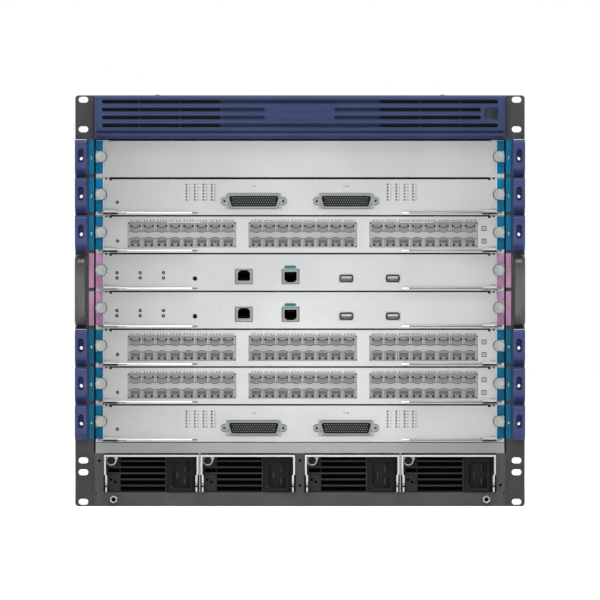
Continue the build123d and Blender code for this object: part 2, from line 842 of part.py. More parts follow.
def inlet_bezel():
    """Moulded grille with four rows of air slots and a status window."""
    low = z_inlet + bezel_inset
    high = z_top - cover_sheet
    front = y_face - bezel_depth
    groove = low + groove_rise
    half = bezel_width / 2
    lip = front + groove_half
    back = front + bezel_lean
    outer = [(y_face, low), (back, low), (lip, groove - groove_half), (back, groove)]
    outer += [(front, groove + groove_half), (front, high), (y_face, high)]
    shell = from_side(outer, -half, half)
    edges = shell.edges().filter_by(Axis.X).sort_by(Axis.Z)[-2:]
    shell = fillet(edges.sort_by(Axis.Y)[0], bezel_round)
    hollow = [(y_face, low + bezel_wall), (back + bezel_wall, low + bezel_wall)]
    hollow += [(back + bezel_wall, high - bezel_wall), (y_face, high - bezel_wall)]
    shell -= from_side(hollow, -half + bezel_wall, half - bezel_wall)
    rows = [high - bezel_slot_drop - bezel_slot_pitch * i for i in range(bezel_slot_rows)]
    slots = []
    for index, z in enumerate(rows):
        if index in (0, bezel_slot_rows - 1):
            slots.append(Pos(0, z) * Rectangle(2 * bezel_slot_half, bezel_slot_height))
        else:
            left = (-bezel_slot_half, -badge_half_width)
            right = (badge_half_width, bezel_slot_half - window_width - window_gap)
            for start, end in (left, right):
                slots.append(Pos((start + end) / 2, z) * Rectangle(end - start, bezel_slot_height))
    shell -= from_front(Sketch(children=slots), front, bezel_depth)
    rib_y = (back + bezel_wall, y_face - filter_thickness)
    for index in range(-4, 5):
        x = index * bezel_rib_pitch
        rib = slab((x - bezel_rib / 2, x + bezel_rib / 2), rib_y, (low + bezel_wall, high - bezel_wall))
        shell += rib
    window_z = (rows[1] + rows[2]) / 2
    window_x = bezel_slot_half - window_width / 2
    window = Pos(window_x, window_z) * Rectangle(window_width, window_height)
    pane = from_front(window, front - window_sheet, window_sheet)
    return Compound(children=[shell, pane])


def inlet_filter():
    """Flat filter pad behind the ribs of the bezel."""
    low = z_inlet + bezel_inset + bezel_wall + running_gap
    high = z_top - cover_sheet - bezel_wall - running_gap
    half = bezel_width / 2 - bezel_wall - running_gap
    return slab((-half, half), (y_face - filter_thickness + running_gap, y_face), (low, high))


def hook_slots():
    """Slots that have a cable manager hook beside them, in two groups."""
    return [k for k in range(1, slot_count + 1) if k not in supervisor_slots]


def cable_manager(slots):
    """One moulded comb: a back plate with a hook for each slot."""
    high = slot_line(slots[0])
    low = slot_line(slots[-1]) - hook_drop
    front = y_face - hook_reach
    x_range = (x_hook - hook_width / 2, x_hook + hook_width / 2)
    comb = slab(x_range, (y_face - hook_base, y_face), (low, high))
    for slot in slots:
        top = slot_line(slot)
        bottom = top - hook_drop
        inner = front + hook_head
        under = top - hook_arm
        points = [(y_face - hook_base, top), (front + hook_corner, top), (front, top - hook_corner)]
        points += [(front, bottom + hook_corner), (front + hook_mouth, bottom)]
        points += [(front + hook_mouth, bottom + hook_tip), (inner, bottom + hook_tip + hook_taper)]
        points += [(inner, under - hook_corner / 2), (inner + hook_corner / 2, under)]
        points += [(y_face - hook_base, under)]
        comb += from_side(points, *x_range)
        slot_place = Pos(x_hook, top - hook_slot_drop)
        recess = Rectangle(hook_slot_width, hook_slot_height)
        recess = slot_place * chamfer(recess.vertices(), hook_slot_width / 3)
        comb -= from_front(recess, front, hook_head)
        relief = Pos(x_hook, top - hook_hole_drop) * Rectangle(4 * hook_hole_radius, 4 * hook_hole_radius)
        comb -= from_front(relief, y_face - hook_base, hook_base)
    return comb


def cable_managers():
    """Two combs on each ear, above and below the carry handles."""
    first = [k for k in hook_slots() if k < supervisor_slots[0]]
    second = [k for k in hook_slots() if k > supervisor_slots[-1]]
    return Compound(children=both_sides(cable_manager(first)) + both_sides(cable_manager(second)))


def carry_handles():
    """A bow handle on each ear beside the supervisor cards."""
    centre = slot_floor(supervisor_slots[0])
    half = handle_length / 2
    front = y_face - handle_reach
    foot = handle_bar
    bend = handle_corner
    outer = [(y_face, centre - half), (front + bend, centre - half), (front, centre - half + bend)]
    outer += [(front, centre + half - bend), (front + bend, centre + half), (y_face, centre + half)]
    outer += [(y_face, centre + half - foot), (front + foot, centre + half - foot)]
    outer += [(front + foot, centre - half + foot), (y_face, centre - half + foot)]
    bow = from_side(outer, x_hook - handle_width / 2, x_hook + handle_width / 2)
    rounded = [e for e in bow.edges().filter_by(Axis.Z) if e.center().Y < front + 1]
    return Compound(children=both_sides(chamfer(rounded, handle_width / 5)))


def slot_labels():
    """Number strips on the ears, one on each side of each slot."""
    solids = []
    for slot in range(1, slot_count + 1):
        line = slot_line(slot)
        strip = slab((x_out + 0.1, x_out + 0.1 + label_width), (y_face - label_thickness, y_face),
                     (line - label_height, line))
        solids += both_sides(strip)
    return Compound(children=solids)


def chassis_fasteners():
    """Two hexagonal grounding jacks on the bottom bar and two screws of the top cover."""
    place = Pos(x_in - jack_inset, bar_height / 2)
    hexagon = place * RegularPolygon(jack_across / 2, 6, major_radius=False)
    jack = from_front(hexagon, y_face - jack_length, jack_length)
    head = RegularPolygon(cover_screw_radius, 8)
    place = Pos(cover_screw_place, y_face + flange_width, z_top)
    screw = place * extrude(head, cover_screw_height)
    return Compound(children=both_sides(jack) + both_sides(screw))


# Writing the pieces

def all_pieces():
    """Every node of the model with its solids."""
    pieces = {
        "bottom_pan": bottom_pan(),
        "top_cover": top_cover(),
        "side_plate_left": side_plate(-1),
        "side_plate_right": side_plate(1),
        "rear_panel": rear_panel(),
        "rack_ear_left": rack_ear(-1),
        "rack_ear_right": rack_ear(1),
        "inlet_bezel": inlet_bezel(),
        "inlet_filter": inlet_filter(),
        "module_shelf": module_shelf(),
        "power_bay_frame": power_bay_frame(),
        "card_guides": card_guides(),
        "backplane": backplane(),
        "carry_handles": carry_handles(),
        "cable_managers": cable_managers(),
        "slot_labels": slot_labels(),
        "chassis_fasteners": chassis_fasteners(),
        "fan_tray_left": fan_tray(-1),
        "fan_tray_right": fan_tray(1),
        "fan_rotor_left": fan_rotor(-1),
        "fan_rotor_right": fan_rotor(1),
    }
    for slot in range(1, slot_count + 1):
        name = "filler_panel" if slot in blank_slots else f"card_panel_{slot}"
        pieces[name] = card_panel(slot)
    for slot in card_slots:
        pieces[f"card_board_{slot}"] = board(slot)
        pieces[f"lever_left_{slot}"] = ejector_lever(slot, -1)
        pieces[f"lever_right_{slot}"] = ejector_lever(slot, 1)
    for slot in supervisor_slots:
        pieces[f"reset_button_{slot}"] = reset_button(slot)
    for index in range(supply_count):
        pieces[f"power_supply_{index + 1}"] = power_supply(index)
        pieces[f"supply_bail_{index + 1}"] = supply_bail(index)
    return pieces


os.makedirs("parts", exist_ok=True)
for name, piece in all_pieces().items():
    export_step(piece, f"parts/{name}.step")
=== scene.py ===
# %% [markdown]
# # A modular chassis switch, dressed for a photograph
# The CAD model comes in as a fixed frame: its sheets, cards, levers and power supplies already have
# their true sizes and move on their joints. Blender gives each of them a finish, and adds what is too
# fine for the solids: knurls, contacts, small numbers, port faces and soft edges.
# Everything is measured in millimetres here and turned into metres when a mesh is made.

# %% Load the frame
import json
import math

import bmesh
import bpy
from mathutils import Matrix, Vector


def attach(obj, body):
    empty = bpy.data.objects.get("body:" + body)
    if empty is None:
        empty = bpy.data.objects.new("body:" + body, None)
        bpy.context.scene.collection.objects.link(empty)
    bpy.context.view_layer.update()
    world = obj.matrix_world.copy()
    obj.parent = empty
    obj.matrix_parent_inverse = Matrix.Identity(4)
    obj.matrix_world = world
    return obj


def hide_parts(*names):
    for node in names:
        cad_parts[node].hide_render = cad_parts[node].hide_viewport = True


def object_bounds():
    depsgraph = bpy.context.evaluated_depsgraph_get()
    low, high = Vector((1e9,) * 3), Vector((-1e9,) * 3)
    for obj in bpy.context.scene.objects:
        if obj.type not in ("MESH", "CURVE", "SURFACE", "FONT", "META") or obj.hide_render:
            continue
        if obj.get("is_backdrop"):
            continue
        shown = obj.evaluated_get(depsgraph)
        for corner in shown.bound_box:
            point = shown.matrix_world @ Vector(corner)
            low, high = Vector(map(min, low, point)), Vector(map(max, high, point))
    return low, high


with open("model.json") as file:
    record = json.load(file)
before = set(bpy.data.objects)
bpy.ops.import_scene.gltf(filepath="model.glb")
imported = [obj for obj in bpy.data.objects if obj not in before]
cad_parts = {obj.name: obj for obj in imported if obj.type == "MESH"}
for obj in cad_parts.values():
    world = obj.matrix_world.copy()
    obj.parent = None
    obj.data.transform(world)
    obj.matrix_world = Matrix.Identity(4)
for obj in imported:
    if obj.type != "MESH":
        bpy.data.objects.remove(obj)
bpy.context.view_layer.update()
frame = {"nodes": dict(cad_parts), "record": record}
MM = 0.001

# %% [markdown]
# The sizes below are the chassis's own layout, the same that the solids were made from: eight slots of
# one pitch between the power bay and the air inlet. Slots are counted from the top.

# %% Sizes of the chassis
FACE = -230.0
REAR = 230.0
PITCH = 40.6
SLOTS_TOP = 393.3
SLOTS_LOW = 68.5
TOP = 441.2
HALF_BODY = 221.0
HALF_RACK = 241.3
HOOK_X = 234.4
SUPPLY_LEFTS = (-210.2, -106.7, 5.3, 108.8)
SUPPLY_LOW = 15.2
SHELL_SLOTS = (2, 8)
PORT_SLOTS = (3, 6, 7)
SUPERVISOR_SLOTS = (4, 5)
HOOK_GROUPS = ((1, 2, 3), (6, 7, 8))
CARD_SLOTS = tuple(range(2, 9))
SIDES = (("left", -1), ("right", 1))


def line_of(slot):
    """Height of the top line of a slot."""
    return SLOTS_TOP - (slot - 1) * PITCH


def card_body(slot):
    return f"card_{slot}"


print("slot lines", [round(line_of(k), 1) for k in range(1, 9)])

# %% [markdown]
# ## Camera and light
# The photograph is taken straight on, from far away with a long lens, so parallel edges stay parallel.
# Its frame is 644 mm wide at the front of the switch. An orthographic camera would look the same, but a
# long lens keeps its framing when the camera walks round the object.

# %% Camera
SENSOR, LENS = 36.0, 447.0
CAMERA_AWAY, CAMERA_HIGH = 8.23, 0.2214
camera_data = bpy.data.cameras.new("camera")
camera_data.sensor_width = SENSOR
camera_data.lens = LENS
camera_data.clip_end = 50.0
camera = bpy.data.objects.new("camera", camera_data)
camera.location = (0.0, -CAMERA_AWAY, CAMERA_HIGH)
camera.rotation_euler = (math.pi / 2, 0.0, 0.0)
bpy.context.scene.collection.objects.link(camera)
bpy.context.scene.camera = camera
bpy.context.scene.view_settings.view_transform = "Standard"
print("frame width at the face", round(SENSOR / LENS * (CAMERA_AWAY - 0.235), 4))

# %% [markdown]
# Shader maths is easier to read as arithmetic than as a web of nodes. The class below wraps one output
# socket. Its operators add Math nodes, `node` adds any other node, and `part` takes one axis of a place.

# %% A socket that does arithmetic
class Wire:
    """One output socket of a node tree, which Python's operators work on."""

    def __init__(self, tree, socket=None):
        self.tree, self.socket = tree, socket

    def node(self, kind, settings=None, inputs=None, output=0):
        """Any node: its type, its settings, then the values or wires of its sockets."""
        made = self.tree.nodes.new(kind)
        for key, value in (settings or {}).items():
            if key == "stops":
                ramp = made.color_ramp
                while len(ramp.elements) < len(value):
                    ramp.elements.new(0.5)
                for element, (place, colour) in zip(ramp.elements, value):
                    element.position, element.color = place, (*colour, 1.0)
            else:
                setattr(made, key, value)
        for key, value in (inputs or {}).items():
            if isinstance(value, Wire):
                self.tree.links.new(value.socket, made.inputs[key])
            else:
                made.inputs[key].default_value = value
        return Wire(self.tree, made.outputs[output] if made.outputs else None)

    def maths(self, operation, *values):
        inputs = {index: value for index, value in enumerate((self, *values))}
        return self.node("ShaderNodeMath", {"operation": operation}, inputs)

    def part(self, axis):
        return self.node("ShaderNodeSeparateXYZ", None, {0: self}, axis)

    def mixed(self, low, high):
        """The colour low where this wire is 0, and high where it is 1."""
        inputs = {0: self, 6: low, 7: high}
        return self.node("ShaderNodeMix", {"data_type": "RGBA"}, inputs, 2)

    def between(self, low, high):
        """1 where this wire lies between two numbers, else 0."""
        return self.maths("GREATER_THAN", low) * self.maths("LESS_THAN", high)

    def clamped(self):
        return self.maths("MAXIMUM", 0.0).maths("MINIMUM", 1.0)

    def __add__(self, other):
        return self.maths("ADD", other)

    def __sub__(self, other):
        return self.maths("SUBTRACT", other)

    def __rsub__(self, other):
        return (self * -1.0) + other

    def __mul__(self, other):
        return self.maths("MULTIPLY", other)

    def __truediv__(self, other):
        return self.maths("DIVIDE", other)

    def __mod__(self, other):
        return self.maths("FLOORED_MODULO", other)

    def __abs__(self):
        return self.maths("ABSOLUTE")

    __radd__, __rmul__ = __add__, __mul__


def colour(code):
    """A linear colour from a six-digit code as paint charts give it."""
    parts = [int(code[i:i + 2], 16) / 255 for i in (0, 2, 4)]
    return tuple(p / 12.92 if p <= 0.04045 else ((p + 0.055) / 1.055) ** 2.4 for p in parts)


def opaque(code):
    return (*colour(code), 1.0)


print("teal", [round(v, 3) for v in colour("04749f")])

# %% [markdown]
# The background is plain white. The world shows white to the camera and to reflections only, and lights
# the object with a weaker, even glow, so a colour renders about as it is written. The floor is matt and
# keeps the shadow, with a white glow that only the camera and the reflections see.

# %% World and floor
world = bpy.data.worlds.new("studio")
bpy.context.scene.world = world
world.use_nodes = True
world.node_tree.nodes.clear()
sky = Wire(world.node_tree)


def seen_rays(wire):
    """1 for camera, mirror and see-through rays, 0 for the light that falls on things."""
    path = wire.tree.nodes.new("ShaderNodeLightPath")
    names = ("Is Camera Ray", "Is Glossy Ray", "Is Transmission Ray")
    camera_ray, glossy_ray, passing_ray = (Wire(wire.tree, path.outputs[name]) for name in names)
    return (camera_ray + glossy_ray + passing_ray).maths("MINIMUM", 1.0)


AMBIENT = 0.5
glow = seen_rays(sky) * (1.0 - AMBIENT) + AMBIENT
background = sky.node("ShaderNodeBackground", None, {"Color": (1, 1, 1, 1), "Strength": glow})
sky.node("ShaderNodeOutputWorld", None, {"Surface": background})

floor_material = bpy.data.materials.new("studio_floor")
floor_material.use_nodes = True
floor_material.node_tree.nodes.clear()
ground = Wire(floor_material.node_tree)
matt = ground.node("ShaderNodeBsdfDiffuse", None, {"Color": (0.8, 0.8, 0.8, 1)})
shine = ground.node("ShaderNodeEmission", None, {"Strength": seen_rays(ground) * 0.62})
both = ground.node("ShaderNodeAddShader", None, {0: matt, 1: shine})
ground.node("ShaderNodeOutputMaterial", None, {"Surface": both})

floor_mesh = bpy.data.meshes.new("floor")
reach = 12.0
floor_mesh.from_pydata(
    [(-reach, -reach, 0), (reach, -reach, 0), (reach, reach, 0), (-reach, reach, 0)], [], [(0, 1, 2, 3)])
floor_object = bpy.data.objects.new("floor", floor_mesh)
floor_mesh.materials.append(floor_material)
bpy.context.scene.collection.objects.link(floor_object)
floor_object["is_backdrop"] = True

# %% [markdown]
# The main light comes from the front and above. A small, weak lamp on the camera's axis makes the middle of
# the satin panels brighter than their ends, as in the photograph. Two narrow lamps at the sides draw the
# highlights on the corners of hooks and handles.

# %% Lamps
def lamp(name, place, width, height, power):
    """A rectangular soft light that looks at the middle of the switch."""
    data = bpy.data.lights.new(name, "AREA")
    data.shape = "RECTANGLE"
    data.size, data.size_y, data.energy = width, height, power
    made = bpy.data.objects.new(name, data)
    made.location = place
    aim = Vector((0.0, 0.0, 0.22)) - Vector(place)
    made.rotation_euler = aim.to_track_quat("-Z", "Y").to_euler()
    bpy.context.scene.collection.objects.link(made)


lamp("key", (0.0, -1.7, 2.3), 1.2, 0.6, 32.0)
lamp("sheen", (0.0, -1.7, 0.16), 0.2, 0.2, 3.4)
lamp("left", (-2.4, -1.6, 0.9), 0.5, 1.4, 6.0)
lamp("right", (2.4, -1.6, 0.9), 0.5, 1.4, 6.0)
lamp("above", (0.0, 0.9, 2.4), 1.6, 1.2, 18.0)

# %% [markdown]
# ## Finishes
# Each finish is a small recipe: a base colour that drifts a little, a roughness with fine grain, and a
# bump at the scale of the real surface. Patterns read the Object coordinates in metres, so a noise scale
# of 1000 has features of about a millimetre. What is the same all over sits on the shader's own sockets.

# %% Making a finish
finishes = {}


def finish(name, recipe, **constants):
    """A material whose constants are set on the shader, and whose varying sockets come from recipe."""
    made = bpy.data.materials.new(name)
    made.use_nodes = True
    shader = made.node_tree.nodes["Principled BSDF"]
    for key, value in constants.items():
        shader.inputs[key.replace("_", " ")].default_value = value
    start = Wire(made.node_tree)
    place = start.node("ShaderNodeTexCoord", None, None, "Object")
    for key, wire in recipe(place).items():
        made.node_tree.links.new(wire.socket, shader.inputs[key])
    finishes[name] = made
    return made


def noise(place, scale, detail=2.0, stretch=(1.0, 1.0, 1.0)):
    """Soft noise between 0 and 1, drawn out along an axis where stretch is small."""
    moved = place.node("ShaderNodeMapping", None, {"Vector": place, "Scale": stretch})
    return place.node("ShaderNodeTexNoise", None, {"Vector": moved, "Scale": scale, "Detail": detail})


def bump(height, depth, strength=1.0):
    """A normal from a height between 0 and 1, depth in millimetres."""
    inputs = {"Height": height, "Distance": depth * MM, "Strength": strength}
    return height.node("ShaderNodeBump", None, inputs)


def drift(place, dark, light, scale=12.0):
    """A colour that wanders between two close tones over the surface."""
    return ((noise(place, scale, 3.0) - 0.35) * 3.0).clamped().mixed(opaque(dark), opaque(light))


def powder_coat(dark, light):
    """Baked powder paint: fine orange peel and a dull sheen."""
    def recipe(place):
        peel = noise(place, 1400.0, 2.0)
        return {
            "Base Color": drift(place, dark, light, 25.0),
            "Roughness": peel * 0.16 + 0.42,
            "Normal": bump(peel, 0.05),
        }
    return recipe


def moulded(dark, light, rough=0.42):
    """Spark-eroded plastic: a soft, even grain."""
    def recipe(place):
        grain = noise(place, 2300.0, 1.0)
        return {
            "Base Color": drift(place, dark, light, 18.0),
            "Roughness": grain * 0.12 + (rough - 0.06),
            "Normal": bump(grain, 0.03),
        }
    return recipe


def satin_metal(dark, light, rough, direction=(0.02, 1.0, 1.0)):
    """Rolled and brushed sheet: hairlines along X, with a slow drift of tone."""
    def recipe(place):
        hair = noise(place, 2600.0, 1.0, direction)
        return {
            "Base Color": (hair * 0.35 + noise(place, 9.0) * 0.65).mixed(opaque(dark), opaque(light)),
            "Roughness": hair * 0.14 + (rough - 0.07),
            "Normal": bump(hair, 0.012),
        }
    return recipe


def printed_film(dark, light):
    """Coloured adhesive film under a thin gloss."""
    def recipe(place):
        wave = noise(place, 320.0, 1.0)
        return {
            "Base Color": drift(place, dark, light, 60.0),
            "Roughness": wave * 0.1 + 0.32,
            "Normal": bump(wave, 0.02),
        }
    return recipe


def banded_film(place):
    """Teal film, with painted shade making it a little darker below the supervisor slots, and pink beside the
    two supervisor slots.
    """
    height = place.part("Z")
    pink = height.between((line_of(6) + 0.5) * MM, (line_of(4) + 0.5) * MM)
    # painted shade: below the supervisor slots the teal is a darker copy of the same film
    shaded_lower = height.between(0.0, (line_of(6) + 0.5) * MM)
    teal = shaded_lower.mixed(drift(place, "026a94", "04749f", 60.0), drift(place, "025f84", "04698e", 60.0))
    wave = noise(place, 320.0, 1.0)
    return {
        "Base Color": pink.mixed(teal, drift(place, "b484a5", "c08fb2", 60.0)),
        "Roughness": wave * 0.1 + 0.36,
        "Normal": bump(wave, 0.02),
    }


# %% Finishes of the chassis
finish("label_teal", banded_film, Specular_IOR_Level=0.1)
finish("body_steel", powder_coat("3e3f41", "464749"), Specular_IOR_Level=0.2)
finish("ear_steel", powder_coat("3d3c3e", "454446"), Specular_IOR_Level=0.15)
finish("frame_grey", powder_coat("45474a", "4d4f52"), Specular_IOR_Level=0.2)
finish("tray_steel", powder_coat("4a4b4d", "525355"), Specular_IOR_Level=0.3)
finish("shelf_grey", satin_metal("747675", "7e807f", 0.36), Metallic=0.4)


def grip_paint(place):
    """Dark paint with a painted highlight along the outer side and middle of the grip, and painted shade
    inward and at its ends.
    """
    # painted highlight and shade: lighter toward the outer side and the middle, dark inward and at both ends
    outer_highlight = ((abs(place.part("X")) - (HOOK_X - 5.5) * MM) * (1.0 / 11.0 / MM)).clamped()
    along = ((abs(place.part("Z") - line_of(5) * MM) * -1.0 + 38.5 * MM) * (1.0 / 24.0 / MM)).clamped()
    peel = noise(place, 1400.0, 2.0)
    return {
        "Base Color": (outer_highlight * along).mixed(opaque("242525"), drift(place, "4e5050", "555757", 25.0)),
        "Roughness": peel * 0.12 + 0.26,
        "Normal": bump(peel, 0.04),
    }


finish("handle_grey", grip_paint, Specular_IOR_Level=0.45)
finish("supply_black", powder_coat("141414", "1a1a1a"), Specular_IOR_Level=0.1)
finish("bezel_blue", moulded("303b5e", "364266", 0.4), Specular_IOR_Level=0.12)
finish("slate_backing", moulded("2c3852", "33405c", 0.6), Specular_IOR_Level=0.1)
# navy for the painted shade at the floor of the hook recesses
finish("recess_shade_navy", moulded("161c40", "1b214a", 0.5), Specular_IOR_Level=0.1)
# pale finish for the painted highlight on the top edges of the hooks
finish("crest_highlight_pale", moulded("b4b8cf", "c4c8dd", 0.5), Specular_IOR_Level=0.2)
finish("manager_blue", moulded("313b66", "37426e", 0.4), Specular_IOR_Level=0.2)
finish("fan_black", moulded("151617", "1b1c1d"), Specular_IOR_Level=0.2)
finish("button_black", moulded("050505", "0a0a0a"), Specular_IOR_Level=0.08)
finish("pane_dark", moulded("1a222d", "1f2835", 0.3), Specular_IOR_Level=0.2)
finish("tag_teal", printed_film("176f7a", "1f7a85"), Specular_IOR_Level=0.2)


def panel_steel(place):
    """Satin panels with faint brush marks, with painted shade that makes them a little darker below slot 3
    and toward the left ends.
    """
    grain = noise(place, 90.0, 3.0, (0.02, 1.0, 1.0))
    # painted shade: darker tones toward the left ends and on the panels below slot 3
    left_end_shade = ((place.part("X") * -1.0 - 105.0 * MM) * (1.0 / 100.0 / MM)).clamped()
    unshaded_upper = ((place.part("Z") - (line_of(4) - 1.0) * MM) * 1000.0).clamped()
    shaded_low_tone = left_end_shade.mixed(drift(place, "8f9090", "989999", 9.0), opaque("888989"))
    high_tone = left_end_shade.mixed(drift(place, "959696", "9e9f9f", 9.0), opaque("8d8e8e"))
    return {
        "Base Color": unshaded_upper.mixed(shaded_low_tone, high_tone),
        "Roughness": grain * 0.04 + 0.34,
        "Normal": bump(grain, 0.01),
    }


finish("panel_silver", panel_steel, Metallic=0.55)
finish("knob_silver", satin_metal("8c9190", "9a9f9e", 0.42, (1.0, 1.0, 1.0)), Metallic=0.3)
finish("lever_steel", satin_metal("c4c4c4", "d2d2d2", 0.3), Metallic=0.7)
finish("bail_steel", satin_metal("a0a1a0", "acadac", 0.36), Metallic=0.4)
finish("guide_steel", satin_metal("9a9b9b", "abacac", 0.4), Metallic=0.8)
finish("jack_brass", satin_metal("8b8b8a", "9b9b9b", 0.32, (1.0, 1.0, 1.0)), Metallic=0.6)
print(len(finishes), "finishes")

# %% [markdown]
# The filter behind the air slots is open-cell foam. Voronoi cells give its pores: dark where a cell is
# deep, a little lighter along the struts between them.

# %% Filter foam
def foam(place):
    edges = {"feature": "DISTANCE_TO_EDGE"}
    cell = place.node("ShaderNodeTexVoronoi", edges, {"Vector": place, "Scale": 620.0})
    strut = (1.0 - cell * 5.0).clamped()
    return {
        "Base Color": strut.mixed(opaque("0b0c0e"), opaque("20252d")),
        "Roughness": strut * 0.1 + 0.85,
        "Normal": bump(strut, 0.5),
    }


finish("filter_foam", foam)

# %% [markdown]
# A card's board and its connectors are one CAD node, so one finish has to tell them apart by place. The
# height within a slot picks out the green board, with copper tracks under its mask. Above it the front
# cages are bright nickel, and the rear connectors are black plastic.

# %% Circuit boards
def tracks(place, along, across):
    """Thin parallel tracks that start and stop, as on a routed board."""
    lane = abs((across * 400.0) % 1.0 - 0.5).maths("LESS_THAN", 0.16)
    piece = noise(place, 55.0, 0.0, (1.0, 0.15, 1.0) if along == "Y" else (0.15, 1.0, 1.0))
    return lane * piece.maths("GREATER_THAN", 0.5)


def solder_mask(place):
    """Green mask with lighter tracks and small plated pads."""
    x, y = place.part("X"), place.part("Y")
    copper = (tracks(place, "Y", x) + tracks(place, "X", y)).clamped()
    cells = place.node("ShaderNodeTexVoronoi", None, {"Vector": place, "Scale": 260.0})
    pads = cells.maths("LESS_THAN", 0.16)
    green = copper.mixed(opaque("0d3b22"), opaque("17542f"))
    return pads.mixed(green, opaque("b7b27c")), copper


def card_board(place):
    green, copper = solder_mask(place)
    z, y = place.part("Z"), place.part("Y")
    level = (z - SLOTS_LOW * MM) % (PITCH * MM)
    on_board = level.between(4.3 * MM, 6.9 * MM)
    at_rear = y.maths("GREATER_THAN", 0.09)
    parts = at_rear.mixed(opaque("8f9190"), opaque("18191a"))
    return {
        "Base Color": on_board.mixed(parts, green),
        "Metallic": (1.0 - on_board) * (1.0 - at_rear) * 0.6,
        "Roughness": noise(place, 1500.0) * 0.2 + 0.32,
        "Normal": bump(copper * on_board, 0.04),
    }


def backplane(place):
    green, copper = solder_mask(place)
    plate = place.part("Y").maths("GREATER_THAN", 0.1299)
    return {
        "Base Color": plate.mixed(opaque("17181a"), green),
        "Roughness": noise(place, 1500.0) * 0.2 + 0.36,
        "Normal": bump(copper * plate, 0.04),
    }


finish("board_green", card_board)
finish("backplane_green", backplane)

# %% Give every CAD node its finish
slot_of = {row["node"]: row["material_slot"] for row in frame["record"]["subparts"]}
for name, piece in frame["nodes"].items():
    material = finishes[slot_of[name]]
    for index in range(max(1, len(piece.material_slots))):
        if piece.material_slots:
            piece.material_slots[index].material = material
        else:
            piece.data.materials.append(material)
print("dressed", len(frame["nodes"]), "nodes")

# %% [markdown]
# ## Tools for new pieces
# Sheet parts are drawn as a flat outline with holes, which Blender fills, thickens and gives a soft edge
# as one 2D curve. The curve is made a mesh first and then turned to the side that it is seen from.

# %% Flat outlines
def arc(x, z, radius, start, end, steps):
    """Points on an arc, angles in degrees."""
    turn = [math.radians(start + (end - start) * i / steps) for i in range(steps + 1)]
    return [(x + radius * math.cos(a), z + radius * math.sin(a)) for a in turn]


def circle(x, z, radius, steps=24):
    return arc(x, z, radius, 0, 360, steps)[:-1]


def rounded(left, right, low, high, radius, steps=5):
    """A rectangle with round corners; a radius of half its height makes an obround."""
    corners = ((right - radius, low + radius, 270), (right - radius, high - radius, 0),
               (left + radius, high - radius, 90), (left + radius, low + radius, 180))
    return [point for x, z, start in corners for point in arc(x, z, radius, start, start + 90, steps)]


def rectangle(left, right, low, high):
    """The four corners of a plain rectangle."""
    return [(left, low), (right, low), (right, high), (left, high)]


SEEN = {
    "front": Matrix(((1, 0, 0), (0, 0, -1), (0, 1, 0))),
    "back": Matrix(((-1, 0, 0), (0, 0, 1), (0, 1, 0))),
    "top": Matrix(((1, 0, 0), (0, 1, 0), (0, 0, 1))),
    "right": Matrix(((0, 0, 1), (1, 0, 0), (0, 1, 0))),
    "left": Matrix(((0, 0, -1), (-1, 0, 0), (0, 1, 0))),
}


def soften(mesh):
    """Smooth shading, with the edges sharp where two faces meet at more than 32 degrees."""
    mesh.polygons.foreach_set("use_smooth", [True] * len(mesh.polygons))
    mesh.set_sharp_from_angle(angle=math.radians(32))
    return mesh


def tidy_mesh(mesh, matrix=None):
    """Merges doubles, turns faces outwards, and smooths all but the sharp edges."""
    work = bmesh.new()
    work.from_mesh(mesh)
    bmesh.ops.remove_doubles(work, verts=work.verts, dist=2e-6)
    if matrix is not None:
        bmesh.ops.transform(work, matrix=matrix, verts=work.verts)
    bmesh.ops.recalc_face_normals(work, faces=work.faces)
    work.to_mesh(mesh)
    work.free()
    soften(mesh)
    mesh.update()
    return mesh


def cut_plate(outline, holes, face, thickness, edge=0.2, seen="front"):
    """Mesh of a plate whose outer face lies at face, seen from one side, with holes through it."""
    flip = -1 if seen in ("back", "left") else 1
    data = bpy.data.curves.new("outline", "CURVE")
    data.dimensions, data.fill_mode = "2D", "BOTH"
    for loop in [outline, *holes]:
        spline = data.splines.new("POLY")
        spline.points.add(len(loop) - 1)
        for point, (u, v) in zip(spline.points, loop):
            point.co = (flip * u * MM, v * MM, 0.0, 1.0)
        spline.use_cyclic_u = True
    data.extrude = (thickness / 2 - edge) * MM
    data.bevel_depth, data.bevel_resolution, data.offset = edge * MM, 1, -edge * MM
    holder = bpy.data.objects.new("outline", data)
    bpy.context.scene.collection.objects.link(holder)
    bpy.context.view_layer.update()
    mesh = bpy.data.meshes.new_from_object(holder.evaluated_get(bpy.context.evaluated_depsgraph_get()))
    bpy.data.objects.remove(holder)
    normal = SEEN[seen] @ Vector((0, 0, 1))
    inward = (face * MM) * Vector([abs(c) for c in normal]) - normal * (thickness / 2) * MM
    mesh.materials.clear()
    return tidy_mesh(mesh, Matrix.Translation(inward) @ SEEN[seen].to_4x4())


def joined(meshes):
    """Several meshes as one."""
    work = bmesh.new()
    for mesh in meshes:
        work.from_mesh(mesh)
    made = bpy.data.meshes.new("joined")
    work.to_mesh(made)
    work.free()
    return soften(made)


def swept(profile, start, end, edge=0.3, steps=2):
    """A side profile of (y, z) points drawn out along X, with soft edges."""
    work = bmesh.new()
    ends = [[work.verts.new((x * MM, y * MM, z * MM)) for y, z in profile] for x in (start, end)]
    work.faces.new(ends[0])
    work.faces.new(list(reversed(ends[1])))
    count = len(profile)
    for i in range(count):
        j = (i + 1) % count
        work.faces.new((ends[0][j], ends[0][i], ends[1][i], ends[1][j]))
    bmesh.ops.recalc_face_normals(work, faces=work.faces)
    sharp = [e for e in work.edges if e.calc_face_angle(0.0) > math.radians(28)]
    bmesh.ops.bevel(work, geom=sharp, offset=edge * MM, segments=steps, profile=0.6, affect="EDGES",
                    clamp_overlap=True)
    made = bpy.data.meshes.new("swept")
    work.to_mesh(made)
    work.free()
    return tidy_mesh(made)


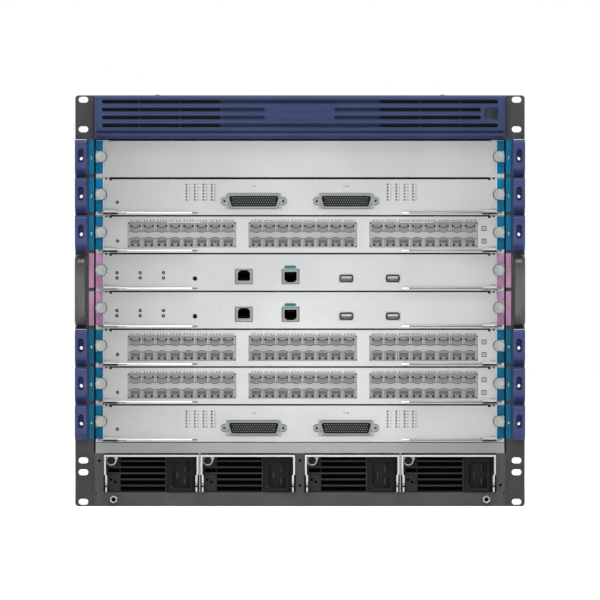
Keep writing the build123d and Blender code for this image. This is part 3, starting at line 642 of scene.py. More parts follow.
def turned(profile, steps=20):
    """A turned part: (radius, depth) points, depth back from its face, on the axis x = z = 0."""
    work = bmesh.new()
    rings = []
    for radius, depth in profile:
        if radius < 1e-6:
            rings.append([work.verts.new((0.0, depth * MM, 0.0))])
        else:
            ring = [(radius * math.cos(a), radius * math.sin(a))
                    for a in (2 * math.pi * i / steps for i in range(steps))]
            rings.append([work.verts.new((u * MM, depth * MM, v * MM)) for u, v in ring])
    for one, two in zip(rings, rings[1:]):
        for i in range(steps):
            j = (i + 1) % steps
            if len(one) == 1:
                work.faces.new((one[0], two[i], two[j]))
            elif len(two) == 1:
                work.faces.new((one[j], one[i], two[0]))
            else:
                work.faces.new((one[j], one[i], two[i], two[j]))
    made = bpy.data.meshes.new("turned")
    work.to_mesh(made)
    work.free()
    return tidy_mesh(made)


def add_piece(name, mesh, body, material, hides=()):
    """Puts a mesh into the scene on a CAD body, with its finish."""
    piece = bpy.data.objects.new(name, mesh)
    mesh.name = name
    mesh.materials.clear()
    mesh.materials.append(finishes[material])
    bpy.context.scene.collection.objects.link(piece)
    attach(piece, body)
    if hides:
        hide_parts(*hides)
    return piece


# %% [markdown]
# What repeats is made once and copied by Geometry Nodes. The tree below puts a small unit on every point
# of a mesh. Its sizes are named inputs, and it ends by making real geometry of the copies and giving them
# their material, because the finished model is exported without instances.

# %% Copies on points
def copies_tree():
    tree = bpy.data.node_groups.new("copies_on_points", "GeometryNodeTree")
    face = tree.interface
    face.new_socket("Points", in_out="INPUT", socket_type="NodeSocketGeometry")
    face.new_socket("Unit", in_out="INPUT", socket_type="NodeSocketObject")
    face.new_socket("Size", in_out="INPUT", socket_type="NodeSocketFloat")
    face.new_socket("Finish", in_out="INPUT", socket_type="NodeSocketMaterial")
    face.new_socket("Copies", in_out="OUTPUT", socket_type="NodeSocketGeometry")
    wire = Wire(tree)
    given = tree.nodes.new("NodeGroupInput")
    points, unit, size, coat = (Wire(tree, socket) for socket in given.outputs[:4])
    shape = wire.node("GeometryNodeObjectInfo", {"transform_space": "ORIGINAL"}, {"Object": unit}, "Geometry")
    turn = wire.node("GeometryNodeInputNamedAttribute", {"data_type": "FLOAT_VECTOR"}, {"Name": "turn"})
    spin = wire.node("FunctionNodeEulerToRotation", None, {0: turn})
    placed = wire.node("GeometryNodeInstanceOnPoints", None,
                       {"Points": points, "Instance": shape, "Rotation": spin, "Scale": size})
    real = wire.node("GeometryNodeRealizeInstances", None, {0: placed})
    coated = wire.node("GeometryNodeSetMaterial", None, {"Geometry": real, "Material": coat})
    wire.node("NodeGroupOutput", None, {0: coated})
    return tree


COPIES = copies_tree()
FORWARD, UPWARD, BACKWARD = (0.0, 0.0, 0.0), (-90.0, 0.0, 0.0), (0.0, 0.0, 180.0)


def read_result(holder):
    """The evaluated object as a plain mesh, with the holder taken away."""
    bpy.context.view_layer.update()
    mesh = bpy.data.meshes.new_from_object(holder.evaluated_get(bpy.context.evaluated_depsgraph_get()))
    holder.modifiers.clear()
    bpy.data.objects.remove(holder)
    return soften(mesh)


def run_tree(tree, base, values):
    """Runs a tree on a base mesh, with its inputs given by name, and returns the mesh that it makes."""
    holder = bpy.data.objects.new("holder", base)
    bpy.context.scene.collection.objects.link(holder)
    modifier = holder.modifiers.new("nodes", "NODES")
    modifier.node_group = tree
    sockets = {item.name: item.identifier for item in tree.interface.items_tree if item.in_out == "INPUT"}
    for key, value in values.items():
        modifier[sockets[key]] = value
    return read_result(holder)


def copies(name, unit_mesh, places, body, material, turns=FORWARD, size=1.0):
    """One piece made of a unit on each place in millimetres; turns is one turn, or a list of them."""
    base = bpy.data.meshes.new("places")
    base.from_pydata([tuple(c * MM for c in place) for place in places], [], [])
    attribute = base.attributes.new("turn", "FLOAT_VECTOR", "POINT")
    for index in range(len(places)):
        angles = turns[index] if isinstance(turns, list) else turns
        attribute.data[index].vector = [math.radians(a) for a in angles]
    unit = bpy.data.objects.new("unit", unit_mesh)
    bpy.context.scene.collection.objects.link(unit)
    values = {"Unit": unit, "Size": size, "Finish": finishes[material]}
    mesh = run_tree(COPIES, base, values)
    bpy.data.objects.remove(unit)
    return add_piece(name, mesh, body, material)


def on_card(stem, slot, mesh, material):
    """A piece of one slot's card."""
    return add_piece(f"{stem}_{slot}", mesh, card_body(slot), material)


def card_copies(stem, slot, unit, places, material, turns=FORWARD, size=1.0):
    """Copies of a unit on one slot's card."""
    return copies(f"{stem}_{slot}", unit, places, card_body(slot), material, turns, size)


def pair(x, z):
    """Two places in front of the face, mirrored in X."""
    return [(sign * x, FACE, z) for sign in (-1, 1)]


# %% [markdown]
# ## Rack ears
# The ears are two folded steel angles. Each flange has five slots for the rack posts, and a small round
# hole behind each cable hook, through which the white background shows. A curve outline with holes gives
# the whole flange with its softened edge in one go.

# %% Rack ears
RACK_SLOTS = (4.7, 36.45, 49.15, 404.75, 436.5)
HOOK_SLOTS = [slot for group in HOOK_GROUPS for slot in group]
for side, sign in SIDES:
    flange = rounded(HALF_BODY, HALF_RACK, 0.0, TOP, 3.5, 6)
    flange = [(HALF_BODY if u < HALF_BODY + 3.6 else u, v) for u, v in flange]
    flange = [p for i, p in enumerate(flange) if i == 0 or p != flange[i - 1]]
    flange = [(u, 0.0 if u == HALF_BODY and v < 4 else (TOP if u == HALF_BODY else v)) for u, v in flange]
    flange = list(dict.fromkeys(flange))
    holes = [rounded(227.35, 237.75, z - 3.2, z + 3.2, 3.2, 8) for z in RACK_SLOTS]
    holes += [circle(234.6, line_of(slot) - 20.3, 1.9) for slot in HOOK_SLOTS]
    face = cut_plate([(sign * u, v) for u, v in flange], [[(sign * u, v) for u, v in h] for h in holes],
                     FACE, 2.0, 0.25)
    leg = cut_plate([(FACE + 0.2, 0.0), (FACE + 48, 0.0), (FACE + 48, TOP), (FACE + 0.2, TOP)], [],
                    sign * (HALF_BODY + 2.0), 2.0, 0.25, seen="right" if sign > 0 else "left")
    add_piece(f"ear_{side}", joined([face, leg]), "chassis", "ear_steel", hides=[f"rack_ear_{side}"])
print("ears with", len(holes), "holes each")

# %% [markdown]
# ## Air inlet bezel
# A moulded cover along the top, with four rows of air slots, a lip with a groove below them, and a small
# dark window. The front wall is an outline with obround holes; the rounded top edge and the grooved lip
# are side profiles drawn along X. Slate ribs and a backing stand behind the middle slots.

# %% Bezel
BEZEL_HALF, BEZEL_FRONT = 220.3, FACE - 14.0
SLOT_ROWS = (434.0, 425.53, 417.06, 408.59)
bezel_holes = []
for index, z in enumerate(SLOT_ROWS):
    spans = ((-212.2, 212.2),) if index in (0, 3) else ((-212.2, -38.0), (36.8, 194.0))
    bezel_holes += [rounded(a, b, z - 1.95, z + 1.95, 1.9, 4) for a, b in spans]
front = BEZEL_FRONT
wall = cut_plate(rectangle(-BEZEL_HALF, BEZEL_HALF, 402.9, 437.2), bezel_holes, front, 2.5, 0.3)
crown = [(FACE, 440.0), (FACE, 437.4), (front + 2.4, 437.4), (front + 2.4, 436.6), (front + 0.02, 436.6)]
crown += arc(front + 3.0, 437.0, 2.98, 180, 90, 6)
lip = [(FACE, 394.2), (front + 5.0, 394.2), (front + 3.4, 396.4), (front + 1.0, 397.2), (front + 0.8, 399.4),
       (front + 1.2, 400.2), (front + 4.4, 400.4), (front + 4.4, 402.8), (front + 0.02, 402.9),
       (front + 0.02, 403.8), (front + 4.8, 403.8), (front + 4.8, 396.8), (FACE, 396.8)]
cheek = [(FACE, 394.4), (front + 1.0, 394.4), (front + 0.4, 438.8), (FACE, 439.8)]
ends = [swept(cheek, sign * (BEZEL_HALF - 2.5), sign * BEZEL_HALF, 0.4) for sign in (-1, 1)]
rib = [(FACE - 8.0, 404.0), (front + 2.0, 404.0), (front + 2.0, 436.8), (FACE - 8.0, 436.8)]
ribs = [swept(rib, x - 0.6, x + 0.6, 0.1) for x in (-172.2, -129.1, -3.0, 3.0, 129.1, 172.2)]
parts = [wall, swept(crown, -BEZEL_HALF, BEZEL_HALF, 0.25), swept(lip, -BEZEL_HALF, BEZEL_HALF, 0.25)]
add_piece("bezel", joined(parts + ends), "chassis", "bezel_blue", hides=["inlet_bezel"])
add_piece("bezel_ribs", joined(ribs), "chassis", "slate_backing")
backing = cut_plate(rectangle(-86.0, 86.0, 403.6, 437.0), [], front + 3.4, 0.8, 0.1)
add_piece("bezel_backing", backing, "chassis", "slate_backing")
pane = cut_plate(rounded(197.4, 212.4, 414.9, 427.9, 0.8), [], front - 0.05, 0.8, 0.15)
add_piece("status_window", pane, "chassis", "pane_dark")

# %% [markdown]
# ## Cable managers and carry handles
# Each slot but the two of the supervisors has a blue hook in front of the ear that holds its cables. The
# hook is a side profile with round corners, and a boolean cuts the keyhole recess into its face. The dark
# handles between the two groups are bows of a rounded bar.

# %% Hooks
def cut_from(mesh, cutters):
    """The mesh less the cutters, by an exact boolean."""
    body = bpy.data.objects.new("body", mesh)
    tool = bpy.data.objects.new("tool", joined(cutters))
    for item in (body, tool):
        bpy.context.scene.collection.objects.link(item)
    modifier = body.modifiers.new("cut", "BOOLEAN")
    modifier.operation, modifier.solver, modifier.object = "DIFFERENCE", "EXACT", tool
    made = read_result(body)
    bpy.data.objects.remove(tool)
    return tidy_mesh(made)


def hook_mesh():
    """One hook with its top at z = 0 and its back at y = 0, centred on x = 0."""
    front, low = -36.0, -34.3
    profile = [(-2.0, 0.0), *arc(front + 5.0, -5.0, 5.0, 90, 180, 6),
               *arc(front + 5.0, low + 5.0, 5.0, 180, 245, 5), (front + 9.0, low - 4.0),
               (front + 9.0, low - 1.6), (front + 4.0, low + 2.0), (front + 4.0, -5.2),
               *arc(front + 6.0, -5.2, 2.0, 180, 90, 3), (-2.0, -3.2)]
    return swept(profile, -6.3, 6.3, 0.9, 3)


recess = cut_plate(rounded(-3.0, 3.0, -24.9, -10.1, 2.9, 6), [], -40.0, 5.6, 0.1)
through = cut_plate(circle(0.2, -20.3, 2.1), [], -42.0, 50.0, 0.05)
hook = cut_from(cut_from(hook_mesh(), [recess]), [through])
rail = cut_from(swept([(0.0, 0.0), (-3.0, 0.0), (-3.0, -38.3), (0.0, -38.3)], -6.3, 6.3, 0.4),
                [cut_plate(circle(0.2, -20.3, 3.2), [], -5.0, 8.0, 0.05)])
places = [(sign * HOOK_X, FACE, line_of(slot)) for sign in (-1, 1) for slot in HOOK_SLOTS]
copies("cable_hooks", joined([hook, rail]), places, "chassis", "manager_blue")
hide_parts("cable_managers")
# A navy plate at the floor of each hook's recess is painted shade in that hollow.
arch = [(-2.9, -24.6), (2.9, -24.6), (2.9, -16.6), *arc(0.0, -13.4, 2.9, 0, 180, 8), (-2.9, -16.6)]
recess_shade_plate = cut_plate(arch, [circle(0.2, -20.3, 2.1)], -34.9, 0.5, 0.05)
copies("hook_linings", recess_shade_plate, places, "chassis", "recess_shade_navy")
# A pale strip along the top front edge of the first hook in each group is a painted highlight.
curl = [(-31.6, -0.1), (-33.0, -0.35), (-34.3, -0.95), (-34.5, -0.7), (-33.2, -0.02), (-31.6, 0.0)]
crest_highlight = swept(curl, -6.0, 6.0, 0.05, 1)
crest_highlights = [(sign * HOOK_X, FACE, line_of(slots[0])) for sign in (-1, 1) for slots in HOOK_GROUPS]
copies("hook_crests", crest_highlight, crest_highlights, "chassis", "crest_highlight_pale")

# %% Carry handles
def bow(centre):
    """Side profile of a handle, whose bar is 13 mm thick and round at its corners."""
    half, front, bar = 38.85, FACE - 38.0, 13.0
    return [(FACE, centre - half), *arc(front + 13, centre - half + 13, 13, 270, 180, 7),
            *arc(front + 13, centre + half - 13, 13, 180, 90, 7), (FACE, centre + half),
            (FACE, centre + half - bar), *arc(front + bar + 4, centre + half - bar - 4, 4, 90, 180, 4),
            *arc(front + bar + 4, centre - half + bar + 4, 4, 180, 270, 4), (FACE, centre - half + bar)]


grips = [swept(bow(line_of(5) + 0.3), sign * HOOK_X - 6.5, sign * HOOK_X + 6.5, 5.4, 6) for sign in (-1, 1)]
add_piece("carry_grips", joined(grips), "chassis", "handle_grey", hides=["carry_handles"])

# %% [markdown]
# ## Card ends
# Each panel ends in a screw block with a knurled captive screw, between two strips of coloured film that
# tell line cards (teal) from supervisors (pink). The strips read their colour from their height, as the
# number strips on the ears do. A knurl is a gear outline with many shallow teeth.

# %% Finishes of the card fronts
# black for the painted shadow in the gaps between panels
finish("gasket_black", moulded("050505", "0a0a0a", 0.8), Specular_IOR_Level=0.1)
# dark ink for print, also used for painted shadow behind the knobs and painted shade on the right levers
finish("ink_and_shade_dark", moulded("1c1f20", "26292a", 0.6), Specular_IOR_Level=0.1)
finish("ink_white", moulded("cfe4f0", "deeef6", 0.6), Specular_IOR_Level=0.2)
finish("edge_pale", satin_metal("9fc0cc", "b0cdd7", 0.4), Metallic=0.2)
finish("usb_grey", moulded("656a69", "6f7473", 0.5), Specular_IOR_Level=0.1)
finish("lens_pale", moulded("a2a8a6", "b2b8b6", 0.3))
finish("port_grey", satin_metal("747675", "808281", 0.5), Metallic=0.3)
finish("port_shade", satin_metal("5c5f5e", "676a69", 0.5), Metallic=0.2)
finish("port_light", satin_metal("919392", "9d9f9e", 0.45), Metallic=0.35)
finish("port_dark", moulded("242728", "2e3132", 0.5), Specular_IOR_Level=0.1)
# black for the insert, and for painted shadow around the shell and in the jack holes
finish("insert_and_shadow_black", moulded("121415", "1a1c1d", 0.5), Specular_IOR_Level=0.1)
finish("contact_grey", satin_metal("6e7373", "7b8080", 0.4, (1.0, 1.0, 1.0)), Metallic=0.3)
finish("contact_gold", satin_metal("2c2414", "382e1a", 0.4, (1.0, 1.0, 1.0)), Metallic=0.8)
finish("shell_nickel", satin_metal("7b7f7d", "888c8a", 0.4, (1.0, 1.0, 1.0)), Metallic=0.35)
finish("rib_black", powder_coat("282929", "303131"), Specular_IOR_Level=0.15)
# near-white for the painted highlight on the lever edges
finish("edge_highlight", satin_metal("dedede", "ebebeb", 0.3), Metallic=0.3)
finish("pad_black", powder_coat("1e1f1f", "252626"), Specular_IOR_Level=0.15)
finish("socket_black", powder_coat("2f3030", "363737"), Specular_IOR_Level=0.15)
# near-black for black parts, and for painted shade in holes and louvres
finish("black_and_hole_shade", moulded("020202", "040404", 0.9), Specular_IOR_Level=0.05)


# %% Knurled screws, strips, and painted shadows in the gaps
def gear(radius, teeth, depth):
    """A knurled outline."""
    points = []
    for i in range(teeth):
        for share, r in ((0.0, radius - depth), (0.3, radius - depth), (0.5, radius), (0.8, radius)):
            a = 2 * math.pi * (i + share) / teeth
            points.append((r * math.cos(a), r * math.sin(a)))
    return points


def knob_mesh():
    """A captive screw: knurled grip, a collar behind it and a shallow dish in its face."""
    grip = cut_plate(gear(5.9, 30, 0.2), [circle(0, 0, 4.6, 24)], -11.3, 7.6, 0.12)
    dish = turned([(0.0, -11.12), (4.2, -11.12), (4.65, -11.2), (4.65, -9.0), (0.0, -9.0)])
    collar = turned([(0.0, -3.8), (4.6, -3.8), (4.8, -3.6), (4.8, -3.0), (0.0, -3.0)])
    return joined([grip, dish, collar])


knob_unit = knob_mesh()
# a dark disc a little wider than the knob, for the knob's painted shadow
shadow_ring_unit = turned([(0.0, -3.3), (6.0, -3.3), (6.15, -3.1), (6.15, -0.2), (6.0, 0.0), (0.0, 0.0)], 32)
strip_unit = joined([cut_plate(rectangle(-3.8, 3.8, low, high), [], -0.95, 0.4, 0.05)
                     for low, high in ((-11.9, -0.8), (-36.4, -23.9))])
edge_unit = cut_plate(rectangle(-0.35, 0.35, -36.4, -0.8), [], -0.8, 0.6, 0.05)
for slot in range(1, 9):
    top = line_of(slot)
    ends = pair(213.6, top - 17.9)
    card_copies("captive_screws", slot, knob_unit, ends, "knob_silver")
    ends = pair(215.4, top)
    card_copies("end_strips", slot, strip_unit, ends, "label_teal")
    ends = pair(211.15, top)
    card_copies("strip_edges", slot, edge_unit, ends, "edge_pale")
    # The dark ring behind each knob, set a little toward the middle, is the knob's painted shadow.
    rings = pair(213.35, top - 17.9)
    card_copies("screw_seats", slot, shadow_ring_unit, rings, "ink_and_shade_dark")
    # A black strip along each panel's top line is painted shadow in the gap between panels.
    lip = 1.7 if slot == 2 else 1.1
    section = [(FACE - 0.2, top - lip), (FACE + 0.1, top - lip), (FACE + 0.1, top - 0.55),
               (FACE + 8.8, top - 0.5), (FACE + 8.8, top + 0.5),
               (FACE + 0.2, top + 0.5), (FACE - 0.2, top + 0.4)]
    shadow_strip = swept(section, -203.4, 203.4, 0.03, 1)
    on_card("gasket", slot, shadow_strip, "gasket_black")
# Black strips beside the panel ends are painted shadow in the gaps by the ears.
section = rectangle(FACE - 0.25, FACE + 3.0, 57.5, 393.0)
jambs = [swept(section, *sorted((sign * 219.45, sign * 221.15)), 0.1, 1) for sign in (-1, 1)]
add_piece("jamb_gaskets", joined(jambs), "chassis", "gasket_black")

# %% [markdown]
# ## Small numbers
# The numbers are plain. Each digit becomes a flat mesh once, and every number is put together from those.

# %% Writing numbers
glyphs = {}


def glyph(character):
    """The mesh of one character, its height about 1, its left edge at 0."""
    if character not in glyphs:
        data = bpy.data.curves.new("glyph", "FONT")
        data.body, data.size, data.resolution_u = character, 1.4, 1
        holder = bpy.data.objects.new("glyph", data)
        bpy.context.scene.collection.objects.link(holder)
        bpy.context.view_layer.update()
        mesh = bpy.data.meshes.new_from_object(holder.evaluated_get(bpy.context.evaluated_depsgraph_get()))
        bpy.data.objects.remove(holder)
        points = [(v.co.x, v.co.y) for v in mesh.vertices]
        left = min(p[0] for p in points)
        glyphs[character] = ([(u - left, v) for u, v in points], [tuple(p.vertices) for p in mesh.polygons],
                             max(p[0] for p in points) - left)
    return glyphs[character]


def written(rows, height, face, turn=0.0, weight=0.12):
    """One mesh of many numbers: rows of (text, x, z), centred on their places, on the plane y = face."""
    work = bmesh.new()
    cos_turn, sin_turn = math.cos(math.radians(turn)), math.sin(math.radians(turn))
    for text, x, z in rows:
        width = sum(glyph(c)[2] + 0.18 for c in text) - 0.18
        cursor = -width / 2
        for character in text:
            points, polygons, advance = glyph(character)
            placed = []
            for u, v in points:
                u, v = (u + cursor) * height, (v - 0.5) * height
                placed.append(work.verts.new(((x + u * cos_turn - v * sin_turn) * MM, face * MM,
                                              (z + u * sin_turn + v * cos_turn) * MM)))
            for polygon in polygons:
                work.faces.new([placed[i] for i in polygon])
            cursor += advance + 0.18
    bmesh.ops.recalc_face_normals(work, faces=work.faces)
    back = bmesh.ops.extrude_face_region(work, geom=list(work.faces))
    moving = [e for e in back["geom"] if isinstance(e, bmesh.types.BMVert)]
    bmesh.ops.translate(work, vec=(0, weight * MM, 0), verts=moving)
    bmesh.ops.recalc_face_normals(work, faces=work.faces)
    made = bpy.data.meshes.new("numbers")
    work.to_mesh(made)
    work.free()
    return made


labels = [(str(n), sign * 224.0, line_of(slot) - 19.2)
          for sign in (-1, 1) for n, slot in enumerate(HOOK_SLOTS, 1)]
add_piece("slot_numbers", written(labels, 3.4, FACE - 0.7), "chassis", "ink_white")

# %% [markdown]
# ## Status lights
# Slots 2 and 8 carry two arrays of 24 lights, numbered from 1. A light is a dark ring with a pale lens.

# %% Lights
ring_unit = turned([(0.36, -0.3), (0.8, -0.35), (1.0, -0.1), (1.0, 0.0), (0.36, 0.0)], 14)
lens_unit = turned([(0.0, -0.3), (0.25, -0.2), (0.38, 0.0), (0.0, 0.0)], 12)
ARRAY_COLUMNS = ((-122.0, -112.9, -103.7, -94.8), (94.1, 103.4, 112.3, 121.2))


def lights(name, spots, slot, size=1.0):
    copies(f"{name}_rings_{slot}", ring_unit, spots, card_body(slot), "ink_and_shade_dark", size=size)
    copies(f"{name}_lenses_{slot}", lens_unit, spots, card_body(slot), "lens_pale", size=size)


for slot in SHELL_SLOTS:
    top = line_of(slot)
    spots, numbers = [], []
    for columns in ARRAY_COLUMNS:
        for column, x in enumerate(columns):
            for row in range(6):
                z = top - 7.3 - 3.28 * row
                spots.append((x, FACE, z))
                numbers.append((str(column * 6 + row + 1), x + 3.4, z))
    numbers += [("1-24", -49.6, top - 9.0), ("25-48", 49.6, top - 9.0)]
    lights("port_lights", spots, slot)
    on_card("light_numbers", slot, written(numbers, 1.95, FACE - 0.12), "ink_and_shade_dark")
    lights("power_light", [(-196.2, FACE, top - 26.3)], slot, 1.8)
for slot in PORT_SLOTS:
    lights("power_light", [(-195.9, FACE, line_of(slot) - 27.4)], slot, 1.8)
for slot in SUPERVISOR_SLOTS:
    spots = [(x, FACE, line_of(slot) - drop) for x in (-196.5, -171.6, -146.6) for drop in (20.8, 26.4)]
    lights("state_lights", spots, slot, 1.8)

# %% [markdown]
# ## D connectors
# A nickel shell surrounds a black insert with four staggered rows of contacts. A jack screw stands in
# a lobe of the flange on each side. The solids already have the shell; these pieces round it off.

# %% D connectors
def d_outline(width, height, slope, radius):
    """The D shape with round corners, wider along its top."""
    lean = math.degrees(math.atan2(slope, height))
    half, top = width / 2, height / 2
    points = arc(half - slope - radius * 0.95, -top + radius, radius, -90, -lean, 5)
    points += arc(half - radius, top - radius, radius, -lean, 90, 5)
    points += arc(-half + radius, top - radius, radius, 90, 180 + lean, 5)
    points += arc(-half + slope + radius * 0.95, -top + radius, radius, 180 + lean, 270, 5)
    return points


rim = cut_plate(d_outline(57.2, 15.8, 2.3, 3.6), [d_outline(53.0, 11.6, 2.3, 2.0)], -5.4, 1.8, 0.4)
opening = d_outline(56.4, 15.1, 2.3, 3.4)
JACK_OUT = 31.6
lobe = [(27.2, 4.6), *arc(31.4, 0.0, 3.9, 80, -80, 8), (27.2, -4.6)]
lobes = [cut_plate([(sign * x, z) for x, z in lobe], [circle(sign * JACK_OUT, 0.0, 1.2, 14)], -5.2, 5.2, 0.6)
         for sign in (-1, 1)]
connector_shell = joined([rim, *lobes])
connector_flange = cut_plate(rounded(-30.0, 30.0, -9.0, 9.0, 2.0), [opening], -0.25, 0.25, 0.05)
insert = cut_plate(d_outline(52.9, 11.5, 2.2, 2.2), [], -5.3, 2.4, 0.2)
# The thin black rings round the shell and its lobes mark the running gap in the panel, with painted shadow in
# it; the black discs in the jack holes are painted shade.
bores = [cut_plate(circle(sign * JACK_OUT, 0.0, 1.25, 14), [], -5.2, 0.3, 0.05) for sign in (-1, 1)]
gap_shadow_ring = cut_plate(d_outline(57.7, 16.4, 2.3, 4.0), [opening], -0.4, 0.4, 0.05)
lobe_gap_shadow_rings = [cut_plate(circle(x, 0.0, 4.3, 24), [circle(x, 0.0, 3.5, 24)], -0.35, 0.3, 0.05)
              for x in (-31.4, 31.4)]
connector_core = joined([insert, gap_shadow_ring, *lobe_gap_shadow_rings, *bores])
stud = turned([(0.0, -0.5), (0.5, -0.45), (0.62, 0.0), (0.0, 0.0)], 6)
for slot in SHELL_SLOTS:
    spots = [(sign * 49.6, FACE, line_of(slot) - 25.2) for sign in (-1, 1)]
    card_copies("connector_shells", slot, connector_shell, spots, "shell_nickel")
    card_copies("connector_cores", slot, connector_core, spots, "insert_and_shadow_black")
    card_copies("connector_flanges", slot, connector_flange, spots, "panel_silver")
    dots = [(x + (column - 9.5 + 0.5 * (row % 2)) * 2.4, FACE - 5.3, z + 3.6 - 2.4 * row)
            for x, y, z in spots for row in range(4) for column in range(20 - row % 2)]
    card_copies("connector_contacts", slot, stud, dots, "contact_grey")

# %% [markdown]
# ## Pluggable ports
# A port card has three blocks of sixteen ports in two rows. One column of a block, with its upper and
# lower port, is the unit that is copied: a sprung door with ribs and a latch tab in light metal, and the
# dark pins and shadow lines as a second unit, because one tree gives one finish.

# %% Ports
BLOCK_CENTRES = (-126.8, 3.0, 132.8)
BLOCK_HALF, BLOCK_HIGH = 57.85, 26.5
COLUMN_PITCH = 14.25


def bar(left, right, low, high, face, thickness, edge=0.08):
    return cut_plate(rectangle(left, right, low, high), [], face, thickness, edge)


def disc(x, z, radius, steps, face, thickness, edge=0.05):
    return cut_plate(circle(x, z, radius, steps), [], face, thickness, edge)


def ribbon(points, width, face, thickness):
    """A bent line of even width, seen from the front."""
    under = [(x, z - width) for x, z in reversed(points)]
    return cut_plate([*points, *under], [], face, thickness, 0.04)


upper_door = bar(-5.6, 5.6, -9.2, -1.0, -1.2, 0.6, 0.2)
upper_tab = cut_plate([(-3.2, -9.0), (-2.4, -10.3), (2.4, -10.3), (3.2, -9.0)], [], -1.35, 0.7, 0.15)
lower_door = bar(-5.6, 5.6, -25.9, -17.3, -1.2, 0.6, 0.2)
lower_tab = cut_plate([(3.4, -17.6), (2.4, -15.9), (-2.4, -15.9), (-3.4, -17.6)], [], -1.35, 0.7, 0.15)
fingers = [bar(x - 0.35, x + 0.35, -3.9, -0.9, -1.5, 0.5) for x in (-2.2, 0.0, 2.2)]
door_unit = joined([upper_door, upper_tab, lower_door, lower_tab, *fingers])
shade_unit = joined([
    bar(-4.8, 4.8, -22.2, -18.6, -1.45, 0.5, 0.15), bar(-5.2, 5.2, -7.5, -6.8, -1.4, 0.4, 0.08),
    bar(-7.0, -6.4, -9.4, -0.8, -1.0, 0.4, 0.06), bar(-7.0, -6.4, -26.0, -17.4, -1.0, 0.4, 0.06)])
pins = [disc(x, z, r, 10, -1.65, 0.5, 0.1)
        for x, z, r in ((-4.6, -3.9, 1.2), (4.6, -3.9, 1.2), (-3.2, -24.2, 1.35), (3.2, -24.2, 1.35))]
link = ribbon([(-4.2, -3.6), (-2.8, -4.9), (2.8, -4.9), (4.2, -3.6)], 0.75, -1.55, 0.4)
upper_bend = [(-7.1, -9.2), (-3.3, -9.2), (-2.5, -10.3), (2.5, -10.3), (3.3, -9.2), (7.1, -9.2)]
lower_bend = [(-7.1, -17.2), (-3.6, -16.9), (-2.5, -15.7), (2.5, -15.7), (3.6, -16.9), (7.1, -17.2)]
upper_lip, lower_lip = ribbon(upper_bend, 0.4, -1.5, 0.6), ribbon(lower_bend, 0.35, -1.5, 0.6)
slits = [bar(-4.6, 4.6, z - 0.16, z + 0.16, -1.6, 0.3, 0.04) for z in (-18.9, -20.4, -21.9)]
mark_unit = joined([*pins, link, upper_lip, lower_lip, *slits])
arrow = cut_plate([(-1.0, -0.8), (1.0, -0.8), (0.0, 1.0)], [], -0.15, 0.2, 0.02)
for slot in PORT_SLOTS:
    top = line_of(slot) - 7.35
    frames = [bar(c - BLOCK_HALF, c + BLOCK_HALF, top - BLOCK_HIGH, top, FACE - 0.8, 0.8, 0.2)
              for c in BLOCK_CENTRES]
    on_card("port_frames", slot, joined(frames), "port_light")
    spots = [(c + (i - 3.5) * COLUMN_PITCH, FACE, top) for c in BLOCK_CENTRES for i in range(8)]
    card_copies("port_doors", slot, door_unit, spots, "port_grey")
    card_copies("port_shades", slot, shade_unit, spots, "port_shade")
    card_copies("port_marks", slot, mark_unit, spots, "port_dark")
    corners = [(c + side * (BLOCK_HALF - 0.9), FACE, z) for c in BLOCK_CENTRES for side in (-1, 1)
               for z in (top - 0.9, top - 25.8)]
    copies(f"port_corners_{slot}", cut_plate(circle(0, 0, 0.75, 10), [], -1.0, 0.4, 0.05), corners,
           card_body(slot), "port_dark")
    numbers = []
    for index, (x, y, z) in enumerate(spots):
        numbers += [(str(2 * index + 1), x - 1.6, z + 1.9), (str(2 * index + 2), x + 4.9, z + 1.9)]
    on_card("port_numbers", slot, written(numbers, 2.7, FACE - 0.12), "ink_and_shade_dark")
    spots = [(x + shift, FACE, z + 1.9) for x, y, z in spots for shift in (-4.6, 1.7)]
    card_copies("port_arrows", slot, arrow, spots, "ink_and_shade_dark")
    legend = []
    for drop, way in ((14.0, 1), (27.5, -1)):
        z = line_of(slot) - drop
        legend.append(cut_plate(rounded(194.9, 200.3, z - 2.6, z + 2.6, 0.9),
                                [rounded(195.7, 199.5, z - 1.8, z + 1.8, 0.4)], FACE - 0.15, 0.2, 0.03))
        point = [(196.6, z - 0.9 * way), (198.6, z - 0.9 * way), (197.6, z + 1.0 * way)]
        legend.append(cut_plate(point, [], FACE - 0.15, 0.2, 0.02))
    on_card("port_legend", slot, joined(legend), "ink_and_shade_dark")

# %% [markdown]
# ## Supervisor cards
# Two shielded network jacks, one with its latch notch up and one with it down, two USB jacks, and a reset
# button in its hole. The jacks' cavities are lined in black, with eight sprung contacts opposite the notch.

# %% Supervisor jacks
def jack_outline(x, z, notch, grow=0.0):
    """The hooded mouth of a network jack; notch is 1 for up and -1 for down."""
    points = [(-6.5, -4.7), (6.5, -4.7), (6.5, 3.6), (5.2, 5.0),
              (3.6, 6.4), (-3.6, 6.4), (-5.2, 5.0), (-6.5, 3.6)]
    grown = [(u + math.copysign(grow, u), v + math.copysign(grow, v)) for u, v in points]
    return [(x + u, z + notch * v) for u, v in grown][::notch]


def around(x, z, half, low, high, radius):
    """A rounded rectangle around a centre: its half width, then how far it reaches down and up."""
    return rounded(x - half, x + half, z - low, z + high, radius)


